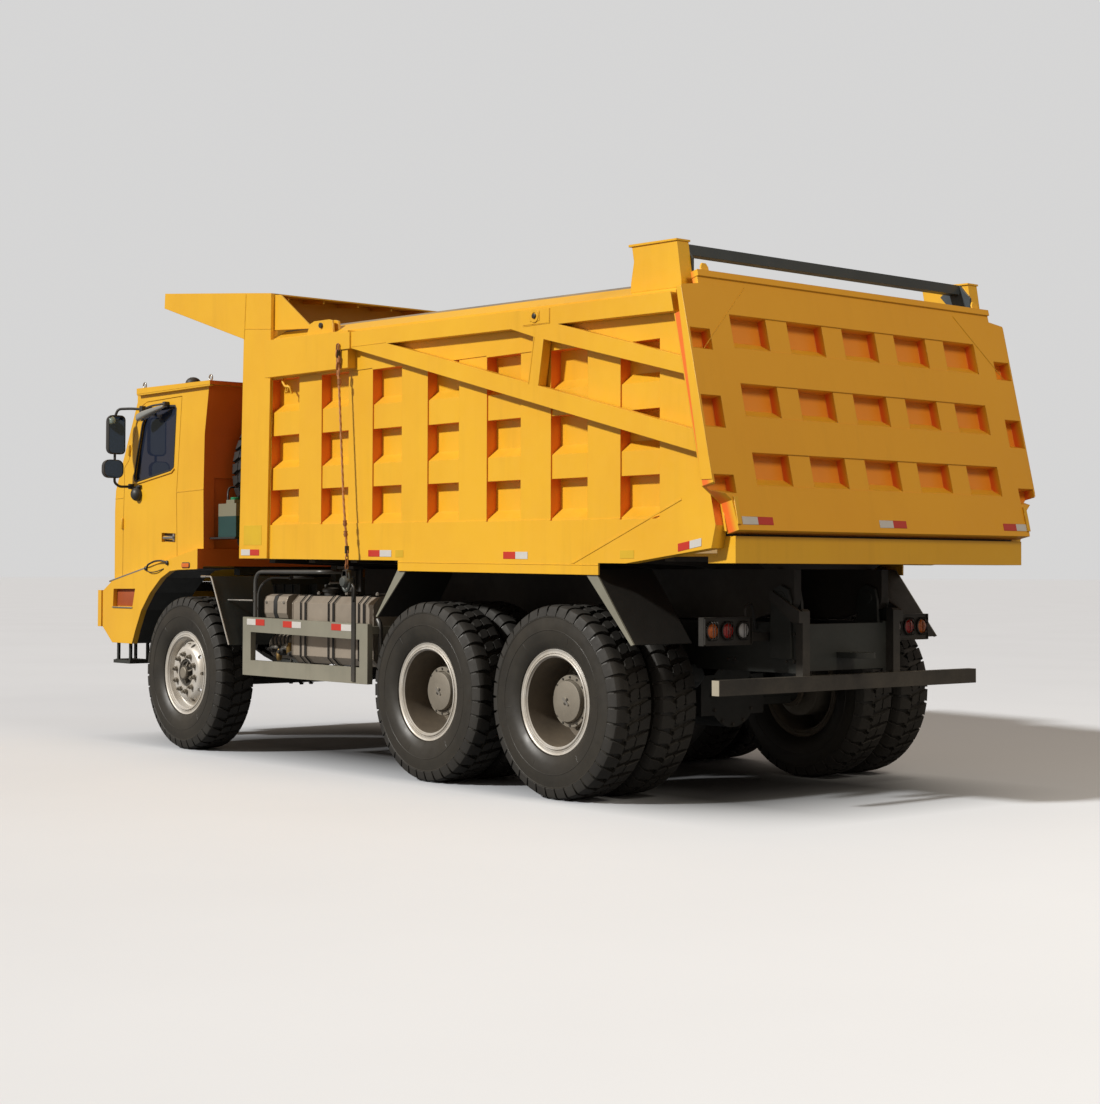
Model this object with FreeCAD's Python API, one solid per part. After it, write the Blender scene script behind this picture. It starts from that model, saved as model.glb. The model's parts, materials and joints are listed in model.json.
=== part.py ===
import FreeCAD, Part
import math
import os

V = FreeCAD.Vector

# ---------------------------------------------------------------- driving sizes (mm)
# x to the vehicle's left, y to the rear (front axle at 0 before the final shift), z up from the ground
WHEELBASE = 3571.0           # front axle to middle axle
BOGIE = 1500.0               # middle axle to rear axle

# wheels
TYRE_R, TYRE_W = 684.0, 374.0
AXLE_Z = TYRE_R              # the tyres stand on z = 0
RIM_SEAT, RIM_FLANGE, RIM_HALF = 318.0, 367.0, 141.0
FLANGE_T, RIM_BORE = 14.0, 300.0
FRONT_TYRE_X = 1538.0        # centre plane of a front tyre
OUTER_TYRE_X, TWIN_GAP = 1475.0, 56.0
INNER_TYRE_X = OUTER_TYRE_X - TYRE_W - TWIN_GAP
HUB_IN = INNER_TYRE_X - 175.0    # inner face of a brake drum
KINGPIN_X = 1320.0
HOLES, HOLE_R, HOLE_AT = 10, 17.5, 258.0     # hand holes of a front rim

# frame
RAIL_IN, RAIL_OUT, RAIL_Z0, RAIL_Z1 = 410.0, 500.0, 900.0, 1250.0
RAIL_T = 12.0                # thickness of a rail's web and flanges
REAR_SPRING_X0 = RAIL_OUT + 90.0
REAR_SPRING_X1 = REAR_SPRING_X0 + 100.0
EYE_R, EYE_BORE = 90.0, 32.0     # tow eye

# cab, hood and front end
CAB_L, CAB_R = 1560.0, -100.0
LEDGE_SLOPE = 0.18                   # the cab's foot rises to the rear by this much per length
FENDER_IN, FENDER_OUT = 1562.0, 1620.0   # faces of the front fenders
DECK_Z, PLATE = 1700.0, 12.0         # underside of the deck beside the cab; thickness of a body plate
DECK_T = 15.0
SPARE_X, SPARE_Z, SPARE_Y0 = 660.0, 2500.0, 170.0    # spare wheel behind the cab

# bed
BED_IN = 1500.0                      # inner face of a side wall
POCKET_X = BED_IN + 12.0             # floor of the outer pockets
RIB_X = BED_IN + 110.0               # outer face of the ribs
POST_X = RIB_X + 25.0                # outer face of the front posts
LEVER_X = RIB_X + 80.0               # outer face of the tailgate's lever arms
ROPE_X = LEVER_X + 25.0
UP_X0, UP_X1 = BED_IN - 25.0, BED_IN + 80.0    # faces of the uprights on the bed's top rail
MUDGUARD_X = RIB_X - 14.0            # outer face of the mudguards under the bed
RAIL_BACK, COLUMN_BACK = 16.0, 6.0   # side rails and columns stand this far inside the ribs' face
STRIP_BACK = 9.0                     # tailgate strips between its pockets, behind the bands
COLUMNS, COLUMN_Y, POCKET_L = 7, 1340.0, 395.0     # pockets along a side: number, first one's front, length
FLOOR_Z, FLOOR_T = 1700.0, 20.0
BEARER_PITCH = 620.0
LEAN = 0.2275                        # tailgate lean, run per rise
GATE_BASE_Z, GATE_Z, GATE_T = 1880.0, 3407.0, 108.0    # gate's foot, lever pivot, thickness
BED_OFF = 122.0                      # bed ends this far in front of the gate's outer face
SILL_Z = 1655.0

# places that follow from the axles
Y_MID, Y_REAR = WHEELBASE, WHEELBASE + BOGIE
RAIL_Y0, RAIL_Y1 = -1500.0, Y_REAR + 1259.0
TIP_Y, TIP_Z = Y_REAR + 1129.0, 1420.0       # bed hinge
GATE_BASE_Y = Y_REAR + 1714.0
Y_SHIFT = (1857.2 - GATE_BASE_Y) / 2.0       # brings the middle of the overall length to y = 0
GATE_Y = GATE_BASE_Y - 1854.0                # tailgate lever pivot
SILL_Y = GATE_BASE_Y - 55.0
EYE_Y = RAIL_Y1 + 160.0
LAMP_Y = RAIL_Y1 - 270.0
HOIST_Y, HOIST_Z = Y_REAR - 471.0, 900.0     # foot of the hoist
HOIST_TOP_Y, HOIST_TOP_Z, HOIST_X = HOIST_Y - 2000.0, 1560.0, 250.0

# ---------------------------------------------------------------- helpers
def box(x0, x1, y0, y1, z0, z1):
    return Part.makeBox(x1 - x0, y1 - y0, z1 - z0, V(x0, y0, z0))

def face(pts):
    return Part.Face(Part.makePolygon(pts + [pts[0]]))

def px(yz, x0, x1):
    "polygon in the y-z plane, swept from x0 to x1"
    return face([V(x0, y, z) for y, z in yz]).extrude(V(x1 - x0, 0, 0))

def py(xz, y0, y1):
    return face([V(x, y0, z) for x, z in xz]).extrude(V(0, y1 - y0, 0))

def pz(xy, z0, z1):
    return face([V(x, y, z0) for x, y in xy]).extrude(V(0, 0, z1 - z0))

def cx(y, z, r, x0, x1):
    return Part.makeCylinder(r, x1 - x0, V(x0, y, z), V(1, 0, 0))

def cy(x, z, r, y0, y1):
    return Part.makeCylinder(r, y1 - y0, V(x, y0, z), V(0, 1, 0))

def cz(x, y, r, z0, z1):
    return Part.makeCylinder(r, z1 - z0, V(x, y, z0), V(0, 0, 1))

def rod(a, b, r):
    a, b = V(*a), V(*b)
    return Part.makeCylinder(r, (b - a).Length, a, b - a)

def tube(points, r, bend):
    "round bar along a polyline with rounded bends"
    pts = [V(*p) for p in points]
    edges, last = [], pts[0]
    for i in range(1, len(pts) - 1):
        a, b, c = pts[i - 1], pts[i], pts[i + 1]
        u, w = a - b, c - b
        room = 0.49 * min(u.Length, w.Length)
        u.normalize()
        w.normalize()
        half = u.getAngle(w) / 2.0
        d = min(bend / math.tan(half), room)
        p0, p1 = b + u * d, b + w * d
        m = u + w
        m.normalize()
        radius = d * math.tan(half)
        mid = b + m * (radius / math.sin(half) - radius)
        edges.append(Part.makeLine(last, p0))
        edges.append(Part.Arc(p0, mid, p1).toShape())
        last = p1
    edges.append(Part.makeLine(last, pts[-1]))
    path = Part.Wire(edges)
    prof = Part.Wire([Part.Circle(pts[0], pts[1] - pts[0], r).toShape()])
    return path.makePipeShell([prof], True, False)

def ring(profile, y, z):
    "profile of (x, r) points turned round the x axis through (y, z)"
    f = face([V(x, y, z + r) for x, r in profile])
    return f.revolve(V(0, y, z), V(1, 0, 0), 360)

def fuse(parts):
    s = parts[0]
    if len(parts) > 1:
        s = s.fuse(parts[1:])
    return s.removeSplitter()

def cut(a, tools):
    return a.cut(tools)

def mir(s):
    return s.mirror(V(0, 0, 0), V(1, 0, 0))

def both(s):
    return [s, mir(s)]

def turn(s, y, z, deg):
    "turn about the x axis through (y, z)"
    c = s.copy()
    c.rotate(V(0, y, z), V(1, 0, 0), deg)
    return c

NODES = {}

def put(name, *shapes):
    "file shapes, or lists of shapes, under a node's name"
    NODES[name] = []
    for item in shapes:
        for s in item if isinstance(item, list) else [item]:
            NODES[name].extend(s.Solids)

# ---------------------------------------------------------------- frame
rail = box(RAIL_IN, RAIL_OUT, RAIL_Y0, RAIL_Y1, RAIL_Z0, RAIL_Z1)
rail = cut(rail, [box(RAIL_IN - 1, RAIL_OUT - RAIL_T, RAIL_Y0 - 1, RAIL_Y1 + 1, RAIL_Z0 + RAIL_T,
                      RAIL_Z1 - RAIL_T)])
put("frame_rails", both(rail))

web = RAIL_OUT - RAIL_T
full = (RAIL_Z0 + RAIL_T, RAIL_Z1 - RAIL_T)
low = (RAIL_Z0 + 60.0, RAIL_Z1 - 60.0)
cross = []
for y0, y1, (z0, z1) in ((RAIL_Y0 + 20, RAIL_Y0 + 120, full), (560, 660, low), (1700, 1800, low),
                         (HOIST_Y + 140, HOIST_Y + 260, full), (Y_REAR + 589, Y_REAR + 689, low),
                         (RAIL_Y1 - 110, RAIL_Y1, full)):
    cross.append(box(-web, web, y0, y1, z0, z1))
put("frame_crossmembers", cross)

# tow eye on the last crossmember
eye = fuse([box(-EYE_R, EYE_R, RAIL_Y1, EYE_Y, 1000, 1040), cz(0, EYE_Y, EYE_R, 1000, 1040)])
eye = cut(eye, [cz(0, EYE_Y, EYE_BORE, 990, 1050)])
put("tow_eye", eye)

# ---------------------------------------------------------------- engine and front of the frame
put("engine_block", box(-380, 380, -1250, 150, 830, 1540))
mounts = [box(380, RAIL_IN, y0, y0 + 100, 1000, 1150) for y0 in (-1150, 40)]
put("engine_mounts", mounts, [mir(mount) for mount in mounts])

# ---------------------------------------------------------------- front axle, springs
beam = fuse([px([(-55, 560), (55, 560), (55, 690), (-55, 690)], -1180, 1180)] +
            both(fuse([py([(1100, 560), (1248, 500), (1248, 868), (1100, 690)], -55, 55),
                       box(1248, 1372, -60, 60, 500, 562), box(1248, 1372, -60, 60, 806, 868)])))
beam = cut(beam, [cz(s * KINGPIN_X, 0, 33, 490, 880) for s in (1, -1)])
put("front_axle_beam", beam)

def spring(y0, y1, zm, ze, t, xa, xb, yc):
    "one leaf, a parabola from its middle height zm to its end height ze"
    steps = [-1.0 + k / 4.0 for k in range(9)]
    under = [(yc + u * (y1 - y0) / 2.0, zm + (ze - zm) * u * u) for u in steps]
    top = [(y, z + t) for y, z in under]
    return px(under + top[::-1], xa, xb)

front_spring = fuse([spring(-780, 780, 690, 850, 22, RAIL_IN, RAIL_OUT, 0),
                     spring(-620, 620, 712, 814, 20, RAIL_IN, RAIL_OUT, 0),
                     spring(-420, 420, 732, 779, 20, RAIL_IN, RAIL_OUT, 0),
                     box(RAIL_IN, RAIL_OUT, -70, 70, 690, 775)])
hang_f = px([(-840, 900), (-690, 900), (-720, 835), (-810, 835)], RAIL_IN, RAIL_OUT)
hang_r = px([(690, 900), (840, 900), (810, 835), (720, 835)], RAIL_IN, RAIL_OUT)
put("front_springs", both(fuse([front_spring, hang_f, hang_r])))

# ---------------------------------------------------------------- rear axles and their suspension
def drive_axle(y):
    beam_x = REAR_SPRING_X1 + 10
    s = fuse([box(-beam_x, beam_x, y - 85, y + 85, AXLE_Z - 95, AXLE_Z + 95),
              cy(0, AXLE_Z, 245, y - 150, y + 150),
              box(-330, 330, y - 150, y + 150, AXLE_Z - 150, AXLE_Z + 150),
              cx(y, AXLE_Z, 95, 90 - HUB_IN, HUB_IN - 90), cx(y, AXLE_Z, 60, -1290, 1290)])
    nose = Part.makeCone(150, 90, 170, V(0, y - 150, AXLE_Z), V(0, -1, 0))
    return fuse([s, nose])
put("middle_axle", drive_axle(Y_MID))
put("rear_axle", drive_axle(Y_REAR))

YB = (Y_MID + Y_REAR) / 2.0
pad_top = AXLE_Z + 95 + 20
leaves = [spring(YB - reach, YB + reach, 900 + 26 * k, end_z, 26, REAR_SPRING_X0, REAR_SPRING_X1, YB)
          for k, (reach, end_z) in enumerate(((860, pad_top), (720, 855), (560, 909), (400, 956)))]
pack = fuse(leaves + [box(REAR_SPRING_X0, REAR_SPRING_X1, YB - 80, YB + 80, 860, 1004)])
put("rear_springs", both(pack))
pads = [box(REAR_SPRING_X0 - 5, REAR_SPRING_X1 + 5, y - 70, y + 70, AXLE_Z + 95,
            pad_top + 31) for y in (Y_MID, Y_REAR)]
pads = [cut(p, [pack]) for p in pads]
put("spring_pads", both(fuse([pads[0]])), both(fuse([pads[1]])))
trun = fuse([cx(YB, 800, 60, -REAR_SPRING_X1 - 10, REAR_SPRING_X1 + 10)] +
            both(px([(YB - 190, 1210), (YB + 190, 1210), (YB + 110, 730), (YB - 110, 730)], RAIL_OUT,
                    RAIL_OUT + 60)))
put("trunnion", trun)
# drive shafts: gearbox to middle axle, middle to rear
shaft1 = rod((0, 120, 885), (0, Y_MID - 300, 690), 55)
shaft2 = rod((0, Y_MID + 150, AXLE_Z), (0, Y_REAR - 320, AXLE_Z), 55)
put("drive_shafts", cut(shaft1, NODES["engine_block"] + NODES["middle_axle"]), shaft2)

# ---------------------------------------------------------------- cab
def ledge(y, off=0.0):
    "height of the cab's foot at y, plus an offset"
    return 1509.0 + LEDGE_SLOPE * (y + 1515.0) + off

cab_out = [(95, ledge(95)), (-1597, ledge(-1597)), (-1601, 2169), (-1585, 2373), (-1163, 3200), (-1163, 3270),
           (175, 3270), (100, 2830), (85, 2300)]
cab_in = [(30, ledge(30, 60)), (-1540, ledge(-1540, 60)), (-1541, 2190), (-1521, 2385), (-1125, 3165),
          (-1120, 3215),
          (100, 3215), (40, 2830), (25, 2300)]
shell = px(cab_out, CAB_R, CAB_L)
shell = cut(shell, [px(cab_in, CAB_R + 55, CAB_L - 60)])
door_line = [(-1063, 3159), (-978, 3187), (-318, 3198), (-407, 2303), (-386, ledge(-386, 7)),
             (-1340, ledge(-1340, 9)),
             (-1431, ledge(-1431, 26)), (-1427, 2070), (-1409, 2428), (-1412, 2583), (-1325, 2651),
             (-1158, 3011)]

def grow(pts, d):
    "offset a polygon outward by d"
    w = Part.makePolygon([V(0, y, z) for y, z in pts + [pts[0]]])
    o = w.makeOffset2D(d, 2)
    vs = [v.Point for v in o.OrderedVertexes]
    return [(p.y, p.z) for p in vs]

door_hole = grow(door_line, 6.0)
door_hole = [(y, ledge(y, 1.0) if z < ledge(y, 40) else z) for y, z in door_hole]
shell = cut(shell, [px(door_hole, CAB_L - 80, CAB_L + 5)])
# windscreen opening: frame on the raked front face
shell = cut(shell, [px([(-1700, 2450), (-1700, 3125), (-1100, 3125), (-1440, 2450)], CAB_R + 120,
                       CAB_L - 120)])
# right window, rear window
win_r = [(-1180, 2480), (-470, 2560), (-430, 3080), (-960, 3080)]
shell = cut(shell, [px(win_r, CAB_R - 5, CAB_R + 60)])
shell = cut(shell, [box(330, 1130, 0, 300, 2560, 3020)])
# recessed field on the back wall
shell = cut(shell, [box(60, 1450, 60, 300, 1800, 2440)])
roof_cap = px([(-1110, 3270), (255, 3270), (255, 3305), (-1110, 3325)], CAB_R - 40, 1600)
shell = fuse([shell, roof_cap])
put("cab_shell", shell)

door = px(door_line, CAB_L - 52, CAB_L)
win = [(-600, 3136), (-440, 3128), (-414, 3095), (-458, 2560), (-492, 2526), (-1165, 2441), (-1215, 2455),
       (-1228, 2500), (-1075, 2985), (-1000, 3090), (-930, 3128)]
door = cut(door, [px(win, CAB_L - 60, CAB_L + 5)])
door = cut(door, [px([(-676, 1868), (-418, 1858), (-418, 1942), (-676, 1952)], CAB_L - 32, CAB_L + 5)])
put("cab_door", door)
put("door_glass", px(win, CAB_L - 30, CAB_L - 24))
put("door_handle", px([(-655, 1892), (-440, 1884), (-440, 1914), (-655, 1922)], CAB_L - 32, CAB_L - 8))

# glass of the cab: windscreen, right and rear windows
def on_front(z):
    "outer front face of the cab at height z"
    return -1585 + (z - 2373) * (1585 - 1163) / (3200.0 - 2373.0)

GLASS_T = 6.0
ws = px([(on_front(z) + off, z) for z, off in ((2450, 16), (2450, 16 + GLASS_T), (3125, 16 + GLASS_T),
                                               (3125, 16))],
        CAB_R + 120, CAB_L - 120)
put("cab_glass", ws, px(win_r, CAB_R + 20, CAB_R + 20 + GLASS_T),
    px([(45, 2560), (60, 2560), (75, 3020), (60, 3020)], 330, 1130).common(box(330, 1130, 0, 300, 2560,
                                                                               3020)))

# seat, dashboard, steering wheel
seat = fuse([px([(-620, ledge(-620, 60)), (-260, ledge(-260, 60)), (-260, 2060), (-620, 2060)], 860, 1160),
             px([(-760, 2060), (-200, 2060), (-200, 2160), (-760, 2180)], 770, 1250),
             px([(-330, 2160), (-210, 2160), (-110, 2790), (-220, 2790)], 780, 1240)])
put("seat", seat)
dash = px([(-1540, 2040), (-1330, 2040), (-1250, 2180), (-1270, 2370), (-1440, 2400), (-1500, 2400),
           (-1541, 2195)], 20, 1490)
dash = dash.common(px(cab_in, 0, 1500))
put("dashboard", dash)
column = rod((1010, -1330, 2260), (1010, -1090, 2440), 30)
wheel_rim = Part.makeTorus(225, 16, V(1010, -1070, 2455), V(0, 0.8, 0.6))
wheel_hub = rod((1010, -1095, 2436), (1010, -1052, 2469), 45)
spokes = cx(-1070, 2455, 10, 790, 1230)
put("steering_wheel", fuse([cut(column, [dash]), wheel_rim, wheel_hub, spokes]))

# cab mounts down to the rails
def cab_post(y, z0, x1):
    "post or arm from z0 up to the cab's foot"
    return px([(y, z0), (y + 100, z0), (y + 100, ledge(y + 100)), (y, ledge(y))], RAIL_IN, x1)

def deck_post(y, z0, x1):
    "the same on the right, up to the deck"
    return mir(box(RAIL_IN, x1, y, y + 100, z0, DECK_Z))

put("cab_mounts", cab_post(-1420, RAIL_Z1, RAIL_OUT), fuse([cab_post(-60, RAIL_Z1, RAIL_OUT),
                                                            cab_post(-60, 1560, 1150)]),
    fuse([deck_post(-60, RAIL_Z1, RAIL_OUT), deck_post(-60, 1560, 1150)]),
    deck_post(-1420, RAIL_Z1, RAIL_OUT))

# ---------------------------------------------------------------- engine hood and deck on the right
DECK_TOP = DECK_Z + DECK_T
deck = box(-1560, CAB_R, -1600, 175, DECK_Z, DECK_TOP)
put("right_deck", deck)
hood = px([(-1600, DECK_TOP), (100, DECK_TOP), (100, 2120), (-1480, 2120), (-1600, 2000)], -1120, -160)
hood = cut(hood, [px([(-1585, DECK_TOP - 1), (85, DECK_TOP - 1), (85, 2105), (-1474, 2105), (-1585, 1994)],
                     -1105, -175)])
hood = cut(hood, [box(-1060, -220, -1620, -1580, 1790, 1960)])
grille = [box(-1060, -220, -1600, -1586, z, z + 14) for z in range(1800, 1960, 30)]
grille += [box(x, x + 14, -1598, -1588, 1790, 1960) for x in (-1060, -850, -640, -430, -234)]
put("engine_hood", fuse([hood] + grille))
# apron below the deck: front sheet with a grille, side sheet down to the fender
apron = px([(-1640, 1450), (-1628, 1450), (-1600, 1500), (-1600, DECK_TOP), (-1612, DECK_TOP), (-1612, 1503),
            (-1640, 1462)],
           -FENDER_IN, CAB_R - 5)
apron = cut(apron, [box(-1060, -220, -1620, -1590, 1535, 1675)])
bars = [box(-1060, -220, -1610, -1602, z, z + 12) for z in range(1560, 1660, 32)]
side_sheet = px([(-1600, ledge(-1600, -10)), (-430, ledge(-430, -10)), (-430, DECK_Z), (-1600, DECK_Z)],
                -FENDER_IN, -FENDER_IN + PLATE)
put("deck_apron", fuse([apron, side_sheet] + bars))
HAND_X, HAND_Y0, HAND_Y1, HAND_Z = -1530.0, -1560.0, 130.0, 2760.0
rail_pts = [(HAND_X, HAND_Y0, DECK_TOP), (HAND_X, HAND_Y0, HAND_Z), (HAND_X, HAND_Y1, HAND_Z),
            (HAND_X, HAND_Y1, DECK_TOP)]
handrail = fuse([tube(rail_pts, 19, 90), rod((HAND_X, HAND_Y0, 2240), (HAND_X, HAND_Y1, 2240), 16),
                 rod((HAND_X, -715, DECK_TOP), (HAND_X, -715, HAND_Z), 16)])
put("deck_handrail", handrail)

# ---------------------------------------------------------------- front bumper and fenders
fender = [(-1720, 1404), (-1720, 1061), (-1518, 911), (-1128, 910), (-1064, 1038), (-950, 1229), (-784, 1394),
          (-583, 1532),
          (-408, 1600), (-260, 1612), (91, 1619), (91, ledge(91)), (-1515, ledge(-1515))]
fender_plate = px(fender, FENDER_IN, FENDER_OUT)
fender_plate = cut(fender_plate, [px([(-1500, 1425), (-1071, 1429), (-1121, 1258), (-1511, 1258)], 1575,
                                     1630)])
front_wall = px([(-1720, 1404), (-1720, 1061), (-1640, 1002), (-1640, ledge(-1640, -24))], -FENDER_IN,
                FENDER_IN)
bar = box(-1600, 1600, -1860, -1790, 1058, 1410)
core = box(-1540, 1540, -1790, -1720, 1075, 1395)
# plate that closes the space under the cab and the deck to the rear
closing = fuse([px([(91 - PLATE, 1640), (91, 1640), (91, ledge(91)), (91 - PLATE, ledge(91 - PLATE))], CAB_R,
                   FENDER_IN),
                box(-FENDER_IN, CAB_R, 91 - PLATE, 91, 1640, DECK_Z)])
bumper = fuse(both(fender_plate) + [front_wall, bar, core, closing])
put("front_bumper", bumper)
# legs from the frame to the bumper
put("bumper_arms", both(box(RAIL_IN, RAIL_OUT, -1640, RAIL_Y0, 1050, 1230)))
# inner arch liners and the mudguards behind the front wheels
arch = [(-1128, 912), (-1064, 1038), (-950, 1229), (-784, 1394), (-583, 1532), (-408, 1600), (-260, 1612),
        (85, 1619)]
inner = [(y - 10, z + 10) for y, z in arch[:6]] + [(-262, 1624), (85, 1631)]
liner = px(arch + inner[::-1], 1150, FENDER_IN)
rear_guard = fuse([px([(440, 1541), (560, 1541), (560, 1551), (440, 1551)], 1150, 1745),
                   px([(552, 1545), (560, 1551), (868, 960), (858, 956)], 1150, 1745),
                   px([(540, 1545), (560, 1551), (868, 960), (843, 960)], 1737, 1745)])
put("arch_liners", both(liner))
brk = px([(470, 1100), (530, 1100), (530, 1541), (470, 1541)], RAIL_OUT, RAIL_OUT + 12)
arm = px([(470, 1480), (530, 1480), (530, 1541), (470, 1541)], RAIL_OUT, 1700)
put("front_mudguards", both(fuse([rear_guard, brk, arm])))

# boarding step under the left front corner, twin on the right
step = fuse([box(1330, 1560, -1605, -1275, 713, 745)] +
            [box(x, x + 22, y, y + 30, 745, 911) for x in (1345, 1525) for y in (-1560, -1320)])
shelf = box(1300, FENDER_IN, -1600, -1200, 911, 925)
put("boarding_steps", both(fuse([step, shelf])))

# ---------------------------------------------------------------- mirrors on the door
def mirror_head(x0, x1, y0, y1, z0, z1, r):
    "flat box with its four corners rounded as seen from behind"
    b = box(x0, x1, y0, y1, z0, z1)
    corners = [e for e in b.Edges if abs(e.Vertexes[0].Y - e.Vertexes[1].Y) > 1.0]
    return b.makeFillet(r, corners)

heads = [mirror_head(1665, 1840, -1290, -1200, 2700, 3070, 38),
         mirror_head(1680, 1886, -1290, -1200, 2472, 2650, 60)]
arm_pts = [(1575, -1028, 3125), (1700, -1190, 3135), (1752, -1245, 3120), (1752, -1245, 2440),
           (1700, -1245, 2395),
           (CAB_L - 7, -1245, 2400)]
feet = [box(CAB_L, CAB_L + 40, -1052, -1004, 3098, 3152), box(CAB_L, CAB_L + 40, -1290, -1180, 2360, 2440)]
mirror = fuse(heads + [tube(arm_pts, 13, 45)] + feet)
mirror = cut(mirror, [box(CAB_L - 160, CAB_L, -1500, -900, 2000, 3300)])
put("door_mirror", mirror)
# right-hand mirror on the deck rail
right_mirror = fuse([mirror_head(-1886, -1690, -1640, -1560, 2620, 2990, 38),
                     rod((HAND_X, HAND_Y0, 2640), (-1760, -1600, 2640), 12)])
put("right_mirror", cut(right_mirror, [handrail]))

# ---------------------------------------------------------------- behind the cab
BEAD = RIM_HALF - FLANGE_T           # half the width between the rim's flanges

def tyre_profile(xc):
    h = TYRE_W / 2.0
    side = [(BEAD, RIM_SEAT), (BEAD, 372), (h - 35, 388), (h - 4, 450), (h, TYRE_R - 154),
            (h - 15, TYRE_R - 74),
            (h - 27, TYRE_R - 29), (h - 59, TYRE_R)]
    return [(xc - x, r) for x, r in side] + [(xc + x, r) for x, r in side[::-1]]

def rim_barrel(xc, bore_in, bore_out):
    "both flanges and the tyre's seat, from the bore on the inner side to the bore on the outer side"
    return [(xc - RIM_HALF, bore_in), (xc - RIM_HALF, RIM_FLANGE), (xc - BEAD, RIM_FLANGE),
            (xc - BEAD, RIM_SEAT),
            (xc + BEAD, RIM_SEAT), (xc + BEAD, RIM_FLANGE), (xc + RIM_HALF, RIM_FLANGE),
            (xc + RIM_HALF, bore_out)]

def lay(s, x, y, z):
    "turn a wheel built at the origin so that its axis lies along y"
    c = s.copy()
    c.rotate(V(0, 0, 0), V(0, 0, 1), 90)
    c.translate(V(x, y, z))
    return c

spare_mid = SPARE_Y0 + TYRE_W / 2.0
post_y = SPARE_Y0 + TYRE_W + 16.0    # front face of the carrier's posts
put("spare_tyre", lay(ring(tyre_profile(0), 0, 0), SPARE_X, spare_mid, SPARE_Z))
spare_rim = ring(rim_barrel(0, RIM_BORE, RIM_BORE) + [(60, RIM_BORE), (60, 150), (40, 150), (40, RIM_BORE)],
                 0, 0)
put("spare_rim", lay(spare_rim, SPARE_X, spare_mid, SPARE_Z))
# carrier: two posts from the rails with a cross plate that holds the spare's disc
carrier = fuse(both(box(RAIL_IN, RAIL_OUT, post_y, post_y + 80, RAIL_Z1, 2560)) +
               [box(-RAIL_OUT, 900, post_y, post_y + 80, 2440, 2560),
                cy(SPARE_X, SPARE_Z, 175, spare_mid + 60, post_y)])
put("spare_carrier", carrier)

bottle = fuse([box(1330, 1480, 215, 520, 1900, 2200), box(1360, 1450, 300, 440, 2200, 2235)])
put("coolant_bottle", bottle)
put("bottle_bracket", cut(box(1300, 1500, 40, 535, 1885, 1900), [shell]))

# air cleaner on the right behind the hood
cleaner = fuse([cz(-1180, 480, 210, 1760, 2480), cz(-1180, 480, 120, 2480, 2600),
                cz(-1180, 480, 190, 2600, 2640)])
put("air_cleaner", cleaner)
shelf_r = fuse([box(-1400, -RAIL_OUT, 300, 680, 1720, 1760), box(-RAIL_OUT, -RAIL_IN, 300, 400, RAIL_Z1,
                                                                 1760)])
put("rear_deck_bracket", shelf_r)

# ---------------------------------------------------------------- tanks and side guards
tank = py([(1050, 830), (1440, 830), (1500, 890), (1500, 1330), (1440, 1390), (1050, 1390), (1000, 1340),
           (1000, 880)],
          1490, 2690)
put("fuel_tank", tank)
straps = []
outer = [(1046, 822), (1444, 822), (1508, 886), (1508, 1334), (1444, 1398), (1046, 1398), (992, 1344),
         (992, 876)]
for y in (1640, 2060, 2500):
    loop = cut(py(outer, y, y + 50), [tank])
    foot = box(RAIL_OUT, RAIL_OUT + PLATE, y - 30, y + 80, 920, 1230)
    legs = [box(RAIL_OUT, 992, y, y + 50, z0, z1) for z0, z1 in ((950, 1010), (1180, 1230))]
    straps.append(fuse([loop, foot] + legs))
put("tank_straps", straps)
# battery box on the right in place of the tank
put("battery_box", fuse([box(-1500, -1000, 1500, 2300, 860, 1330), box(-1510, -990, 1490, 2310, 1330, 1350)]))
put("battery_brackets", [box(-1000, -RAIL_OUT, y, y + 60, 900, 960) for y in (1600, 2100)])
# air tanks ahead of the fuel tank
upper_tank = py([(1290, 1240), (1308, 1198), (1350, 1180), (1440, 1180), (1482, 1198), (1500, 1240),
                 (1500, 1340),
                 (1482, 1382), (1440, 1400), (1350, 1400), (1308, 1382), (1290, 1340)], 1030, 1395)
lower_tank = cy(1290, 950, 110, 960, 1400)
put("air_tanks", upper_tank, lower_tank)
put("air_tank_bracket", cut(box(RAIL_OUT, 1400, 1185, 1235, 1060, 1180), [lower_tank]))
# side guard frames
GUARD_IN, GUARD_OUT = 1590.0, 1640.0
guard = px([(915, 704), (2802, 704), (2802, 1180), (915, 1203)], GUARD_IN, GUARD_OUT)
guard = cut(guard, [px([(1045, 833), (2690, 833), (2690, 1055), (1045, 1075)], GUARD_IN - 10,
                       GUARD_OUT + 10)])
guard = fuse([guard] + [box(RAIL_OUT, GUARD_IN, y0, y1, 1100, 1160) for y0, y1 in ((925, 985), (2735, 2790))])
put("side_guards", both(guard))
# anchor posts for the tailgate ropes, and the ropes
anchor = fuse([box(GUARD_OUT, GUARD_OUT + PLATE, 2590, 2640, 720, 1600),
               box(GUARD_OUT + PLATE, ROPE_X + 25, 2590, 2640, 1560, 1600)])
put("rope_anchors", both(anchor))
put("tailgate_ropes", both(rod((ROPE_X, 2612, 1606), (ROPE_X, 2470, 3400), 12)))

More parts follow.
